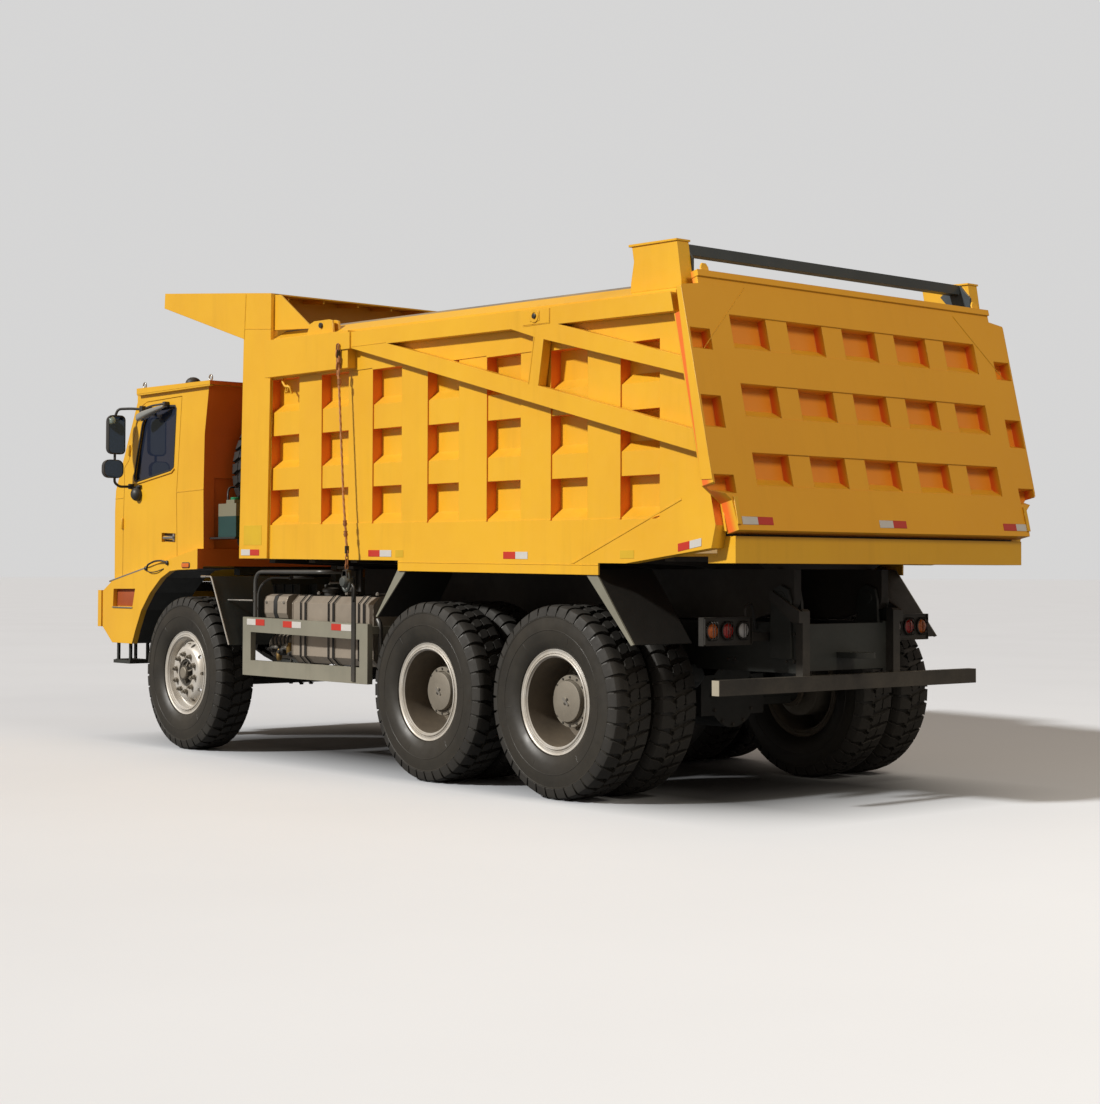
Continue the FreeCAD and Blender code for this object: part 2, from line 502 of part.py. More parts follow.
# ---------------------------------------------------------------- rear of the frame
HANG_X0, HANG_X1 = RAIL_OUT - 60.0, RAIL_OUT + 12.0      # hanger plates
ARM_X0, ARM_X1 = RAIL_OUT + 26.0, RAIL_OUT + 48.0        # their arms, outside the hinge plates
HANG_Y0, HANG_Y1 = RAIL_Y1 + 5.0, RAIL_Y1 + 70.0
hanger = fuse([px([(HANG_Y0, 780), (HANG_Y1, 780), (HANG_Y1, 1330), (HANG_Y1 - 20, 1345), (HANG_Y0, 1345)],
                  HANG_X0, HANG_X1),
               px([(HANG_Y1, 1250), (HANG_Y1, 1330), (TIP_Y - 60, 1470), (TIP_Y - 90, 1450),
                   (TIP_Y - 90, 1410),
                   (HANG_Y0, 1250)], ARM_X0, ARM_X1),
               box(HANG_X1, ARM_X1, HANG_Y0, HANG_Y1, 1250, 1330),
               box(HANG_X0, RAIL_OUT, RAIL_Y1, HANG_Y0, RAIL_Z0 + RAIL_T, RAIL_Z1 - RAIL_T)])
bar = box(-1345, 1345, RAIL_Y1 + 30, RAIL_Y1 + 100, 780, 885)
put("bumper_hangers", both(cut(hanger, [bar])))
put("rear_bumper", bar)
LAMP_X, LAMP_R = (1102.0, 955.0, 805.0), 54.0
lamp_box = fuse([box(715, 1178, LAMP_Y, LAMP_Y + 50, 1097, 1290),
                 box(RAIL_OUT, 715, LAMP_Y - 15, LAMP_Y + 25, 1120, 1180),
                 box(700, 715, LAMP_Y - 15, LAMP_Y + 50, 1120, 1180)])
put("lamp_boxes", both(lamp_box))
put("tail_lamps", [cy(s * x, 1198, LAMP_R, LAMP_Y + 50, LAMP_Y + 62) for s in (1, -1) for x in LAMP_X])
# tip hinge
cheek = [(TIP_Y + dy, TIP_Z + dz) for dy, dz in ((90, -20), (70, 60), (0, 90), (-70, 60), (-90, -20))]
plate_o = [(TIP_Y - 110, 1000), (TIP_Y + 100, 1000)] + cheek
plate_i = [(TIP_Y - 110, RAIL_Z1 - 60), (TIP_Y + 100, RAIL_Z1 - 60)] + cheek
hinge = fuse([px(plate_o, RAIL_OUT, RAIL_OUT + 22), px(plate_i, RAIL_IN - 22, RAIL_IN),
              cx(TIP_Y, TIP_Z, 45, RAIL_IN - 30, RAIL_OUT + 26)])
put("tip_hinge", both(cut(hinge, [cross[-1]])))

# ---------------------------------------------------------------- hoist
hoist_l = math.hypot(HOIST_TOP_Y - HOIST_Y, HOIST_TOP_Z - HOIST_Z)

def along(t):
    "point of the hoist's axis at the distance t from its foot"
    return (HOIST_Y + (HOIST_TOP_Y - HOIST_Y) * t / hoist_l, HOIST_Z + (HOIST_TOP_Z - HOIST_Z) * t / hoist_l)

def hoist_cyl(x, t0, t1, r):
    return rod((x,) + along(t0), (x,) + along(t1), r)

def hoist_tie(t, r):
    "bar between the two cylinders"
    return rod((-HOIST_X,) + along(t), (HOIST_X,) + along(t), r)

sides = (HOIST_X, -HOIST_X)
barrels = [fuse([hoist_cyl(x, 70, 1500, 85), cx(HOIST_Y, HOIST_Z, 75, x - 50, x + 50)]) for x in sides]
barrels = cut(fuse(barrels + [hoist_tie(600, 30)]),
              [hoist_cyl(x, 130, 1510, 56) for x in sides] + [cx(HOIST_Y, HOIST_Z, 36, -400, 400)])
put("hoist_barrels", barrels)
rods = [cut(fuse([hoist_cyl(x, 160, hoist_l - 45, 50), cx(HOIST_TOP_Y, HOIST_TOP_Z, 50, x - 40, x + 40)]),
            [cx(HOIST_TOP_Y, HOIST_TOP_Z, 31, -400, 400)]) for x in sides]
put("hoist_rods", fuse(rods + [hoist_tie(hoist_l - 190, 25)]))
cheek = [(HOIST_Y - 60, 870), (HOIST_Y - 40, 950), (HOIST_Y + 140, 1060), (HOIST_Y + 140, RAIL_Z0 + RAIL_T),
         (HOIST_Y + 40, 840)]
cheeks = [px(cheek, x, x + 20) for x in (HOIST_X - 114, HOIST_X + 94)]
put("hoist_base", fuse(cheeks + [mir(c) for c in cheeks] + [cx(HOIST_Y, HOIST_Z, 30, -HOIST_X - 116,
                                                               HOIST_X + 116)]))

# ---------------------------------------------------------------- bed
def bot_z(y):
    "lower edge of the bed's side"
    return 1707.0 - 0.0105 * (y - 835.0)

def gate_in(z, off):
    "rear face line parallel to the tailgate, off mm in front of its outer face"
    return GATE_BASE_Y - LEAN * (z - GATE_BASE_Z) - off

side_pts = [(860, bot_z(860)), (Y_REAR + 729, bot_z(Y_REAR + 729)), (SILL_Y - 110, 1752),
            (gate_in(1900, BED_OFF), 1900),
            (gate_in(3400, BED_OFF), 3400), (gate_in(3400, BED_OFF), 3425), (1320, 3540), (880, 3540)]
side = px(side_pts, BED_IN, RIB_X)
pitch = (SILL_Y - 989.0 - COLUMN_Y) / (COLUMNS - 1)
cols = [COLUMN_Y + pitch * k for k in range(COLUMNS)]
rows = [(1990, 2284, 0.0085), (2456, 2746, 0.0130), (2930, 3224,
                                                     0.0175)]    # lower and upper edge, fall per length
tools = []
for k, y0 in enumerate(cols):
    y1 = y0 + POCKET_L
    if k == 0:
        y0 = COLUMN_Y - 44.0         # the first column starts at the post
    for z0, z1, fall in rows:
        dz = -fall * (y0 - COLUMN_Y)
        zl, zh = z0 + dz, z1 + dz
        tools.append(py([(POCKET_X, zl + 85), (RIB_X, zl), (RIB_X + 5, zl), (RIB_X + 5, zh), (POCKET_X, zh)],
                        y0, y1))
    row_z0 = rows[0][0] - rows[0][2] * (y0 - COLUMN_Y)
    row_z1 = rows[-1][1] - rows[-1][2] * (y0 - COLUMN_Y)
    tools.append(box(RIB_X - RAIL_BACK, RIB_X + 5, y0, y1, row_z0, row_z1))
    if k < len(cols) - 1:
        tools.append(box(RIB_X - COLUMN_BACK, RIB_X + 5, y1, cols[k + 1], row_z0, row_z1))
side = cut(side, tools)
# top rail with its inclined plate
def cap_end(y, z_foot, z_out, z_in):
    xz = [(BED_IN - 30, z_foot), (RIB_X, z_foot), (RIB_X, z_out), (BED_IN - 30, z_in), (BED_IN - 30, z_foot)]
    return Part.makePolygon([V(x, y, z) for x, z in xz])

cap = Part.makeLoft([cap_end(1320, 3400, 3575, 3660), cap_end(gate_in(3500, BED_OFF) - 4, 3330, 3455, 3540)],
                    True, True)
front_box = px([(1326, 3238), (2578, 3227), (2578, 3528), (1326, 3556)], RIB_X, LEVER_X)
SKIRT_Y0, SKIRT_Y1 = Y_MID - 405.0, Y_REAR + 451.0
skirt = px([(SKIRT_Y0, 1602), (SKIRT_Y1, 1576), (SKIRT_Y1, bot_z(SKIRT_Y1)), (SKIRT_Y0, bot_z(SKIRT_Y0))],
           MUDGUARD_X, RIB_X)
side = fuse([side, cap, front_box, skirt])
put("bed_sides", both(side))

postp = [(835, 1707), (1286, 1705), (1325, 3243), (1333, 3966), (917, 4011), (888, 3613)]
post_s = px(postp, RIB_X, POST_X)
post_core = px([(860, 3540), (1320, 3540), (1333, 3966), (917, 4011), (888, 3613)], BED_IN + 60, RIB_X)
put("bed_posts", both(cut(fuse([post_s, post_core]), [side])))

# front wall between the sides
fw = px([(862, 1720), (912, 1720), (975, 3990), (925, 4000)], -BED_IN, BED_IN)
put("bed_front_wall", fw)

# canopy: side plates, roof plate and stiffeners
ROOF_X = RIB_X - 10.0
roof_side = px([(917, 4011), (-510, 4160), (-520, 4024), (888, 3613)], ROOF_X, POST_X)
roof = px([(-510, 4160), (1333, 3966), (1333, 3954), (-510, 4148)], -ROOF_X, ROOF_X)
roof_front = px([(-520, 4024), (-510, 4148), (-498, 4148), (-508, 4020)], -ROOF_X, ROOF_X)
gusset = px([(1333, 3954), (1423, 3945), (1925, 3612), (1333, 3652)], ROOF_X - 15, ROOF_X)

def roof_beam(k):
    y = -300 + 500 * k
    return px([(y, 4050 - 52 * k), (y + 80, 4042 - 52 * k), (y + 80, 4118 - 53 * k), (y, 4126 - 53 * k)],
              -ROOF_X, ROOF_X)

canopy = fuse(both(roof_side) + [roof, roof_front] + [roof_beam(k) for k in range(3)])
canopy = cut(canopy, both(post_core) + [fw] + both(post_s))
put("bed_canopy", canopy)
put("canopy_gussets", both(cut(gusset, [side, post_core, roof])))

# floor, underside
BEAM_Z, BEAM_TOP = RAIL_Z1 + 12.0, FLOOR_Z - 80.0
put("bed_floor", box(-BED_IN, BED_IN, 862, SILL_Y - 170, FLOOR_Z, FLOOR_Z + FLOOR_T))
long_beam = px([(1100, BEAM_Z), (TIP_Y - 300, BEAM_Z), (TIP_Y - 60, TIP_Z - 92), (TIP_Y, TIP_Z - 105),
                (TIP_Y + 60, TIP_Z - 86),
                (TIP_Y + 96, TIP_Z - 42), (TIP_Y + 105, TIP_Z), (TIP_Y + 105, BEAM_TOP), (1100, BEAM_TOP)],
               RAIL_IN + 15, RAIL_OUT - 5)
long_beam = cut(long_beam, [cx(TIP_Y, TIP_Z, 51, RAIL_IN - 110, RAIL_OUT + 100)])
put("bed_beams", both(long_beam))

def bearer(y, wing_z):
    "cross member of the floor, deep over the long beams and shallow towards its ends"
    half = [(RAIL_OUT + 20, BEAM_TOP), (RAIL_OUT + 120, wing_z), (BED_IN - 10, FLOOR_Z - 32),
            (BED_IN - 10, FLOOR_Z)]
    return py(half + [(-x, z) for x, z in half[::-1]], y, y + 90)

# bearers on one pitch, two of them close to the hoist's lugs, the rearmost flat over the lamps
last_bearer = HOIST_TOP_Y - 260 + 6 * BEARER_PITCH
bearers = int((last_bearer - 1100.0) / BEARER_PITCH)
put("bed_crossbearers", [bearer(last_bearer - BEARER_PITCH * k, FLOOR_Z - 60) for k in range(bearers, 0, -1)],
    bearer(last_bearer, FLOOR_Z - 32))
lug = [(HOIST_TOP_Y - 65, 1505), (HOIST_TOP_Y + 65, 1505), (HOIST_TOP_Y + 100, BEAM_TOP),
       (HOIST_TOP_Y - 100, BEAM_TOP)]
lugs = fuse([px(lug, x, x + 20) for x in (HOIST_X - 75, HOIST_X + 55)] +
            [cx(HOIST_TOP_Y, HOIST_TOP_Z, 25, x, x + 28) for x in (HOIST_X - 75, HOIST_X + 47)] +
            [box(HOIST_X - 90, RAIL_IN + 15, HOIST_TOP_Y - 160, HOIST_TOP_Y + 140, BEAM_TOP, BEAM_TOP + 20)])
put("hoist_lugs", both(lugs))
# rear sill
sill = fuse([box(-BED_IN, BED_IN, SILL_Y - 168, SILL_Y, SILL_Z, 1830),
             box(-BED_IN, BED_IN, SILL_Y - 250, SILL_Y - 168, SILL_Z, FLOOR_Z)])
put("bed_sill", sill)

# upright boxes and the cross beam between them
UP_Y = gate_in(3400.0, 128.2)        # rear face of an upright, clear of the tailgate
upright = fuse([px([(UP_Y - 493, 3400), (UP_Y - 493, 3547), (UP_Y - 463, 3693), (UP_Y - 483, 3797),
                    (UP_Y - 43, 3788),
                    (UP_Y, 3518), (UP_Y, 3400)], UP_X0, UP_X1),
                px([(UP_Y - 507, 3797), (UP_Y - 36, 3787), (UP_Y - 36, 3800), (UP_Y - 507, 3813)], UP_X0 - 10,
                   UP_X1 + 10)])
put("bed_uprights", both(cut(upright, [side])))
cross_beam = box(-UP_X0, UP_X0, UP_Y - 201, UP_Y - 111, 3718, 3788)
end_plate = px([(UP_Y - 291, 3715), (UP_Y - 201, 3620), (UP_Y - 201, 3565), (UP_Y - 11, 3565),
                (UP_Y - 11, 3680),
                (UP_Y - 106, 3785), (UP_Y - 201, 3785)], UP_X0 - 20, UP_X0)
put("bed_cross_beam", cut(fuse([cross_beam] + both(end_plate)), both(upright)))

# mudguards carried by the bed over the twin wheels
GUARD_Y0, GUARD_Y1, GUARD_X0 = Y_MID - 421.0, Y_REAR + 389.0, 1050.0
front_wing = fuse([px([(GUARD_Y0, 1620), (GUARD_Y0 + 120, 1620), (GUARD_Y0 - 282, 1238),
                       (GUARD_Y0 - 300, 1240)],
                      MUDGUARD_X - PLATE, MUDGUARD_X),
                   px([(GUARD_Y0, 1620), (GUARD_Y0 + 14, 1620), (GUARD_Y0 - 288, 1239),
                       (GUARD_Y0 - 300, 1240)],
                      GUARD_X0, MUDGUARD_X)])
rear_wing = fuse([px([(GUARD_Y1 - 120, 1620), (GUARD_Y1, 1620), (GUARD_Y1 + 406, 1108),
                      (GUARD_Y1 + 380, 1100)],
                     MUDGUARD_X - PLATE, MUDGUARD_X),
                  px([(GUARD_Y1 - 14, 1620), (GUARD_Y1, 1620), (GUARD_Y1 + 406, 1108),
                      (GUARD_Y1 + 392, 1104)],
                     GUARD_X0, MUDGUARD_X)])
wing_top = box(GUARD_X0, MUDGUARD_X, GUARD_Y0, GUARD_Y1, 1620 - PLATE, 1620)
put("bed_mudguards", both(fuse([front_wing, rear_wing, wing_top])))

# ---------------------------------------------------------------- tailgate
def gate(s):
    "gate pieces are drawn upright with the outer face at y = 0 and the foot at z = 0, then leaned"
    c = s.copy()
    c.rotate(V(0, 0, 0), V(1, 0, 0), math.degrees(math.atan(LEAN)))
    c.translate(V(0, GATE_BASE_Y, GATE_BASE_Z))
    return c
def rise(z):
    "height z measured along the leaning face, from its foot"
    return (z - GATE_BASE_Z) * math.sqrt(1 + LEAN * LEAN)

def gate_pocket(x0, x1, z0, z1, chamfer):
    a, b = rise(z0), rise(z1)
    return px([(-85, a + chamfer), (0, a), (5, a), (5, b), (-85, b)], x0, x1)

half = [(BED_IN + 27, rise(1868)), (BED_IN + 48, rise(2060)), (LEVER_X, rise(2172)), (LEVER_X, rise(3470)),
        (BED_IN + 30, rise(3492)), (BED_IN + 30, rise(3556))]
panel = py(half + [(-x, z) for x, z in half[::-1]], -GATE_T, 0)
tools = [box(-2000, 2000, -GATE_T - 5, -50, rise(3306), rise(3800))]     # the upper edge is a thinner plate
for z0, z1 in ((3073, 3302), (2615, 2838), (2158, 2378)):
    tools += [gate_pocket(c - 176, c + 176, z0, z1, 70) for c in (-1114, -557, 0, 557, 1114)]
    tools.append(box(-1290, 1290, -STRIP_BACK, 5, rise(z0), rise(z1)))
for z0, z1 in ((3047, 3186), (2530, 2742), (2104, 2224)):
    tools += both(gate_pocket(BED_IN - 5, LEVER_X - 14, z0, z1, 40))
lip = box(-BED_IN - 34, BED_IN + 34, -50, 14, rise(3540), rise(3582))
put("tailgate_panel", gate(fuse([cut(panel, tools), lip])))

# lever arms beside the bed
LEVER_IN = RIB_X + 7.0
def top_c(y):
    return 3517.0 - 0.0215 * (y - 2332)

def low_c(y):
    return 3397.0 - 0.0225 * (y - 2100)

def lower_arm(y):
    "upper edge of the arm that runs down to the gate's foot"
    return 3378.0 - 0.2505 * (y - 3105)

chord_end, foot_end = GATE_BASE_Y - 355, GATE_BASE_Y - 225
chord = px([(2594, top_c(2594)), (chord_end, top_c(chord_end)), (chord_end, low_c(chord_end)),
            (2594, low_c(2594))],
           LEVER_IN, LEVER_X)
lower = px([(2600, 3396), (3105, lower_arm(3105)), (foot_end, lower_arm(foot_end)),
            (foot_end, 3386 - 0.256 * (foot_end - 2594)), (2600, 3385)], LEVER_IN, LEVER_X)
upper = px([(GATE_Y - 291, 3345), (GATE_Y + 211, 3338), (GATE_Y + 1549, 2987.12), (GATE_Y + 1569, 2870.1975),
            (GATE_Y - 10, 3261)], LEVER_IN, LEVER_X)
strut = px([(GATE_Y - 10, 3300), (GATE_Y + 107, 3300), (GATE_Y + 34, lower_arm(GATE_Y + 34) - 22.07),
            (GATE_Y - 83, lower_arm(GATE_Y - 83) - 21.3785)], LEVER_IN, LEVER_X)
tip_plate = px([(2440, top_c(2440)), (2594, top_c(2594)), (2594, 3376), (2440, 3380)], LEVER_X + 5,
               LEVER_X + 13)
tip_web = px([(2594, top_c(2594)), (2620, top_c(2620)), (2620, 3376), (2594, 3376)], LEVER_IN, LEVER_X + 13)
arms = fuse([chord, lower, upper, strut, tip_plate, tip_web, cx(GATE_Y, GATE_Z, 46, LEVER_IN, LEVER_X + 10)])
behind = gate(box(-2000, 2000, -GATE_T, 600, -600, 2600))
put("tailgate_arms", both(cut(arms, [behind, cx(GATE_Y, GATE_Z, 26, BED_IN, LEVER_X + 110)])))
put("tailgate_pins", both(cx(GATE_Y, GATE_Z, 20, RIB_X, LEVER_X + 4)))

# ---------------------------------------------------------------- steering knuckles and wheels
knuckle = fuse([cz(KINGPIN_X, 0, 58, 572, 796), cz(KINGPIN_X, 0, 27, 508, 860),
                cx(0, AXLE_Z, 44, KINGPIN_X, 1590),
                cx(0, AXLE_Z, 110, KINGPIN_X + 50, KINGPIN_X + 70)])
put("knuckle_left", knuckle)
put("knuckle_right", mir(knuckle))

def front_rim(xc):
    "flanges and seat, dished disc, hub cap and the bore for the stub axle"
    disc_out = [(60, RIM_BORE), (132, 245), (138, 215), (138, 150), (150, 150), (150, 0)]
    disc_in = [(60, 120), (118, 160), (118, 215), (110, 236), (36, 288), (36, RIM_BORE)]
    return (rim_barrel(xc, RIM_BORE, RIM_BORE) + [(xc + x, r) for x, r in disc_out] +
            [(1600, 0), (1600, 52), (1400, 52), (1400, 120)] + [(xc + x, r) for x, r in disc_in])

turns = [2 * math.pi * i / HOLES for i in range(HOLES)]
fr = cut(ring(front_rim(FRONT_TYRE_X), 0, AXLE_Z),
         [cx(HOLE_AT * math.sin(a), AXLE_Z + HOLE_AT * math.cos(a), HOLE_R, 1560, 1700) for a in turns])
ft = ring(tyre_profile(FRONT_TYRE_X), 0, AXLE_Z)
put("front_tyre_left", ft)
put("front_rim_left", fr)
put("front_tyre_right", mir(ft))
put("front_rim_right", mir(fr))

def twin_rim(y):
    "two rims on one drum, the planetary hub outside and the brake drum inside"
    hub = [(1276, RIM_BORE), (1276, 168), (1440, 168), (1440, 187), (1476, 187), (1476, 152), (1512, 146),
           (1512, 0),
           (1300, 0), (1300, 68), (HUB_IN, 68), (HUB_IN, 205), (1180, 205), (1200, 168), (1246, 168),
           (1246, RIM_BORE)]
    return ring(rim_barrel(INNER_TYRE_X, RIM_BORE, 312) + rim_barrel(OUTER_TYRE_X, 312, RIM_BORE) + hub, y,
                AXLE_Z)

for place, y in (("middle", Y_MID), ("rear", Y_REAR)):
    rims = twin_rim(y)
    tyres = [ring(tyre_profile(x), y, AXLE_Z) for x in (OUTER_TYRE_X, INNER_TYRE_X)]
    put(place + "_tyres_left", tyres)
    put(place + "_rims_left", rims)
    put(place + "_tyres_right", [mir(tyre) for tyre in tyres])
    put(place + "_rims_right", mir(rims))

# ---------------------------------------------------------------- gather small like pieces into their nodes
def gather(target, *names):
    for name in names:
        NODES[target] = NODES.get(target, []) + NODES.pop(name)

gather("frame_crossmembers", "tow_eye", "engine_mounts", "bumper_arms", "cab_mounts", "rear_deck_bracket",
       "tip_hinge",
       "hoist_base", "trunnion")
gather("leaf_springs", "front_springs", "rear_springs")
gather("drive_axles", "middle_axle", "rear_axle", "spring_pads")
gather("engine_hood", "right_deck", "deck_apron")
gather("cab_door", "door_handle")
gather("deck_handrail", "right_mirror")
gather("dashboard", "steering_wheel")
gather("front_mudguards", "arch_liners")
gather("spare_carrier", "bottle_bracket")
gather("tank_brackets", "tank_straps", "battery_brackets", "air_tank_bracket", "rope_anchors")
gather("rear_bumper", "bumper_hangers", "lamp_boxes")
gather("bed_front_wall", "bed_posts")
gather("bed_canopy", "canopy_gussets")
gather("bed_floor", "bed_sill")
gather("bed_beams", "bed_crossbearers", "hoist_lugs")
gather("bed_sides", "tailgate_pins")

# ---------------------------------------------------------------- write the nodes
os.makedirs("parts", exist_ok=True)
for name, solids in NODES.items():
    sh = solids[0] if len(solids) == 1 else Part.makeCompound(solids)
    sh = sh.copy()
    sh.translate(V(0, Y_SHIFT, 0))
    sh.exportStep("parts/" + name + ".step")
print(len(NODES), "nodes")
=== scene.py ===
import json
import math
import random

import bpy
import bmesh
from mathutils import Matrix, Vector


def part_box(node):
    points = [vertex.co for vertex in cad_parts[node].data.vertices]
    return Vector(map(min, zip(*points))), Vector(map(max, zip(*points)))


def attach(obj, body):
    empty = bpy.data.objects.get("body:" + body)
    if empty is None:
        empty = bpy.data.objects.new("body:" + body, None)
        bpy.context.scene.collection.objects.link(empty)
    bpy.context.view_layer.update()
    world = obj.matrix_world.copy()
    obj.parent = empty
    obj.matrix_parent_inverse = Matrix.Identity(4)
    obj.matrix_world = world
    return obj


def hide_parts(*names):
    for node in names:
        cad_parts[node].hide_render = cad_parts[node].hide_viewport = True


bl_info = {
    "name": "Dump truck",
    "version": (1, 0, 0),
    "blender": (4, 5, 0),
    "location": "View3D > Sidebar > Truck",
    "description": "Builds the finish and fittings of a three-axle off-road dump truck round its solid frame",
    "category": "Object",
}

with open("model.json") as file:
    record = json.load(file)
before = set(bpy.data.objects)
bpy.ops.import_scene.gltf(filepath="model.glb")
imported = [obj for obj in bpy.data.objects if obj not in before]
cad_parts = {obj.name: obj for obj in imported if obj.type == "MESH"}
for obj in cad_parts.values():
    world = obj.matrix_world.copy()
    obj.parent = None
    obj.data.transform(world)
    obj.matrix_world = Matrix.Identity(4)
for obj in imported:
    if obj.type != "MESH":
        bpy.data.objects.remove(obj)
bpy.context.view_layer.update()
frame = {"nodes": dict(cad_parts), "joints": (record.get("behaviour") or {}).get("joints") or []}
NODES = frame["nodes"]
JOINT = {j["name"]: j for j in frame["joints"]}
# lengths below are in metres; y is counted from the front axle, at Y0 in the frame
FRONT_X, Y0, AXLE_Z = JOINT["front_wheel_left_roll"]["pos_m"]
Y_MID, Y_REAR = (JOINT[axle + "_wheels_left_roll"]["pos_m"][1] - Y0 for axle in ("middle", "rear"))
HALF_TYRE = 0.187
OUTER_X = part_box("middle_tyres_left")[1].x - HALF_TYRE
INNER_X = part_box("middle_tyres_left")[0].x + HALF_TYRE
TYRE_R = 0.684
SPARE = tuple((a + b) / 2 for a, b in zip(*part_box("spare_tyre")))
SPARE = (SPARE[0], SPARE[1] - Y0, SPARE[2])
SIDE_X = 1.61           # outer face of the bed's ribs
POST_X = 1.635          # outer face of its front post
LEAN = 0.2275           # the tailgate's lean, run per rise
GATE_Y, GATE_Z = 6.785, 1.88        # foot of the tailgate's rear face
STRAPS = (1.665, 2.085, 2.525)      # middles of the fuel tank's straps


# ---- settings
def colour(name, description, default):
    return bpy.props.FloatVectorProperty(name=name, description=description, subtype="COLOR", size=3,
                                         min=0, max=1, default=default)


def amount(name, description, default, low=0.0, top=1.0, **more):
    return bpy.props.FloatProperty(name=name, description=description, default=default, min=low, max=top,
                                   **more)


def count(name, description, default, low, top):
    return bpy.props.IntProperty(name=name, description=description, default=default, min=low, max=top)


class TruckPaint(bpy.types.PropertyGroup):
    """Colours and wear of the painted steel"""
    body: colour("Body", "Paint of cab and bed", (0.8, 0.435, 0.018))
    chassis: colour("Chassis", "Paint of frame and axles", (0.016, 0.019, 0.018))
    guards: colour("Guards", "Paint of side guards and mudguards", (0.235, 0.228, 0.178))
    beam: colour("Cross beam", "Paint of the beam over the tailgate", (0.045, 0.06, 0.072))
    rims: colour("Rims", "Paint of the wheel rims", (0.64, 0.62, 0.585))
    dust: amount("Dust", "How much dust lies on everything", 0.45, subtype="FACTOR")
    edge: amount("Edge radius", "Rounding of plate edges", 0.005, 0.0005, 0.02, unit="LENGTH")


class TruckWheels(bpy.types.PropertyGroup):
    """Sizes of tyres and rims"""
    lugs: count("Lugs", "Tread lugs round a tyre", 38, 12, 80)
    depth: amount("Tread depth", "Depth of the tread grooves", 0.027, 0.005, 0.05, unit="LENGTH")
    nuts: count("Wheel nuts", "Nuts on a front rim", 10, 4, 20)
    holes: count("Hub bolts", "Bolts round a rear hub's flange", 14, 6, 30)


class TruckStage(bpy.types.PropertyGroup):
    """Floor and lights"""
    floor: colour("Floor", "Colour of the floor", (0.8, 0.8, 0.8))
    bounce: amount("Bounce", "How much light the floor throws back on the truck", 0.22, subtype="FACTOR")
    key: amount("Key light", "Strength of the low key light", 3.6, top=20)
    rear: amount("Rear light", "Power of the warm light on the tailgate", 900.0, top=20000)
    sky: amount("Sky", "Strength of the even light from all round", 0.27, top=3)


# ---- shader groups
def new_group(name, output, **inputs):
    "shader group of number inputs with their defaults and one number output, with its two end nodes"
    g = bpy.data.node_groups.new(name, "ShaderNodeTree")
    for label, value in inputs.items():
        s = g.interface.new_socket(label.replace("_", " "), in_out="INPUT", socket_type="NodeSocketFloat")
        s.default_value = value
    g.interface.new_socket(output, in_out="OUTPUT", socket_type="NodeSocketFloat")
    return g, g.nodes.new("NodeGroupInput"), g.nodes.new("NodeGroupOutput")


def feed(t, value, socket):
    "sets a socket to a number, or links it to another socket"
    if isinstance(value, (int, float)):
        socket.default_value = value
    else:
        t.links.new(value, socket)


def math_node(t, op, a, b=None, clamp=False):
    n = t.nodes.new("ShaderNodeMath")
    n.operation, n.use_clamp = op, clamp
    feed(t, a, n.inputs[0])
    if b is not None:
        feed(t, b, n.inputs[1])
    return n.outputs[0]


def times(t, *values, clamp=False):
    "product of sockets and numbers"
    out = values[0]
    for k, value in enumerate(values[1:], 2):
        out = math_node(t, "MULTIPLY", out, value, clamp and k == len(values))
    return out


def own_coords(t):
    return t.nodes.new("ShaderNodeTexCoord").outputs["Object"]


def parts(t, vector):
    "x, y and z of a vector socket, as outputs by letter"
    n = t.nodes.new("ShaderNodeSeparateXYZ")
    t.links.new(vector, n.inputs[0])
    return n.outputs


def noise_node(t, coord, scale, detail=4.0, rough=0.55, stretch=None):
    if stretch is not None:
        m = t.nodes.new("ShaderNodeMapping")
        m.inputs["Scale"].default_value = stretch
        t.links.new(coord, m.inputs["Vector"])
        coord = m.outputs["Vector"]
    n = t.nodes.new("ShaderNodeTexNoise")
    n.inputs["Detail"].default_value = detail
    n.inputs["Roughness"].default_value = rough
    t.links.new(coord, n.inputs["Vector"])
    feed(t, scale, n.inputs["Scale"])
    return n.outputs["Fac"]


def ramp(t, value, lo, hi, out_lo=0.0, out_hi=1.0):
    n = t.nodes.new("ShaderNodeMapRange")
    n.clamp = True
    n.inputs["From Min"].default_value, n.inputs["From Max"].default_value = lo, hi
    n.inputs["To Min"].default_value, n.inputs["To Max"].default_value = out_lo, out_hi
    t.links.new(value, n.inputs["Value"])
    return n.outputs["Result"]


def edge_wear_group():
    """Mask of worn edges: where a rounded normal leaves the flat one, broken up by noise"""
    g, i, o = new_group("edge_wear", "Mask", Radius=0.006, Amount=0.5, Grain=22.0)
    bevel = g.nodes.new("ShaderNodeBevel")
    bevel.samples = 4
    g.links.new(i.outputs["Radius"], bevel.inputs["Radius"])
    geo = g.nodes.new("ShaderNodeNewGeometry")
    dot = g.nodes.new("ShaderNodeVectorMath")
    dot.operation = "DOT_PRODUCT"
    g.links.new(bevel.outputs["Normal"], dot.inputs[0])
    g.links.new(geo.outputs["Normal"], dot.inputs[1])
    edge = ramp(g, dot.outputs["Value"], 0.998, 0.9)
    chips = ramp(g, noise_node(g, own_coords(g), i.outputs["Grain"], 6.0, 0.65), 0.48, 0.6)
    g.links.new(times(g, edge, chips, i.outputs["Amount"], clamp=True), o.inputs["Mask"])
    return g


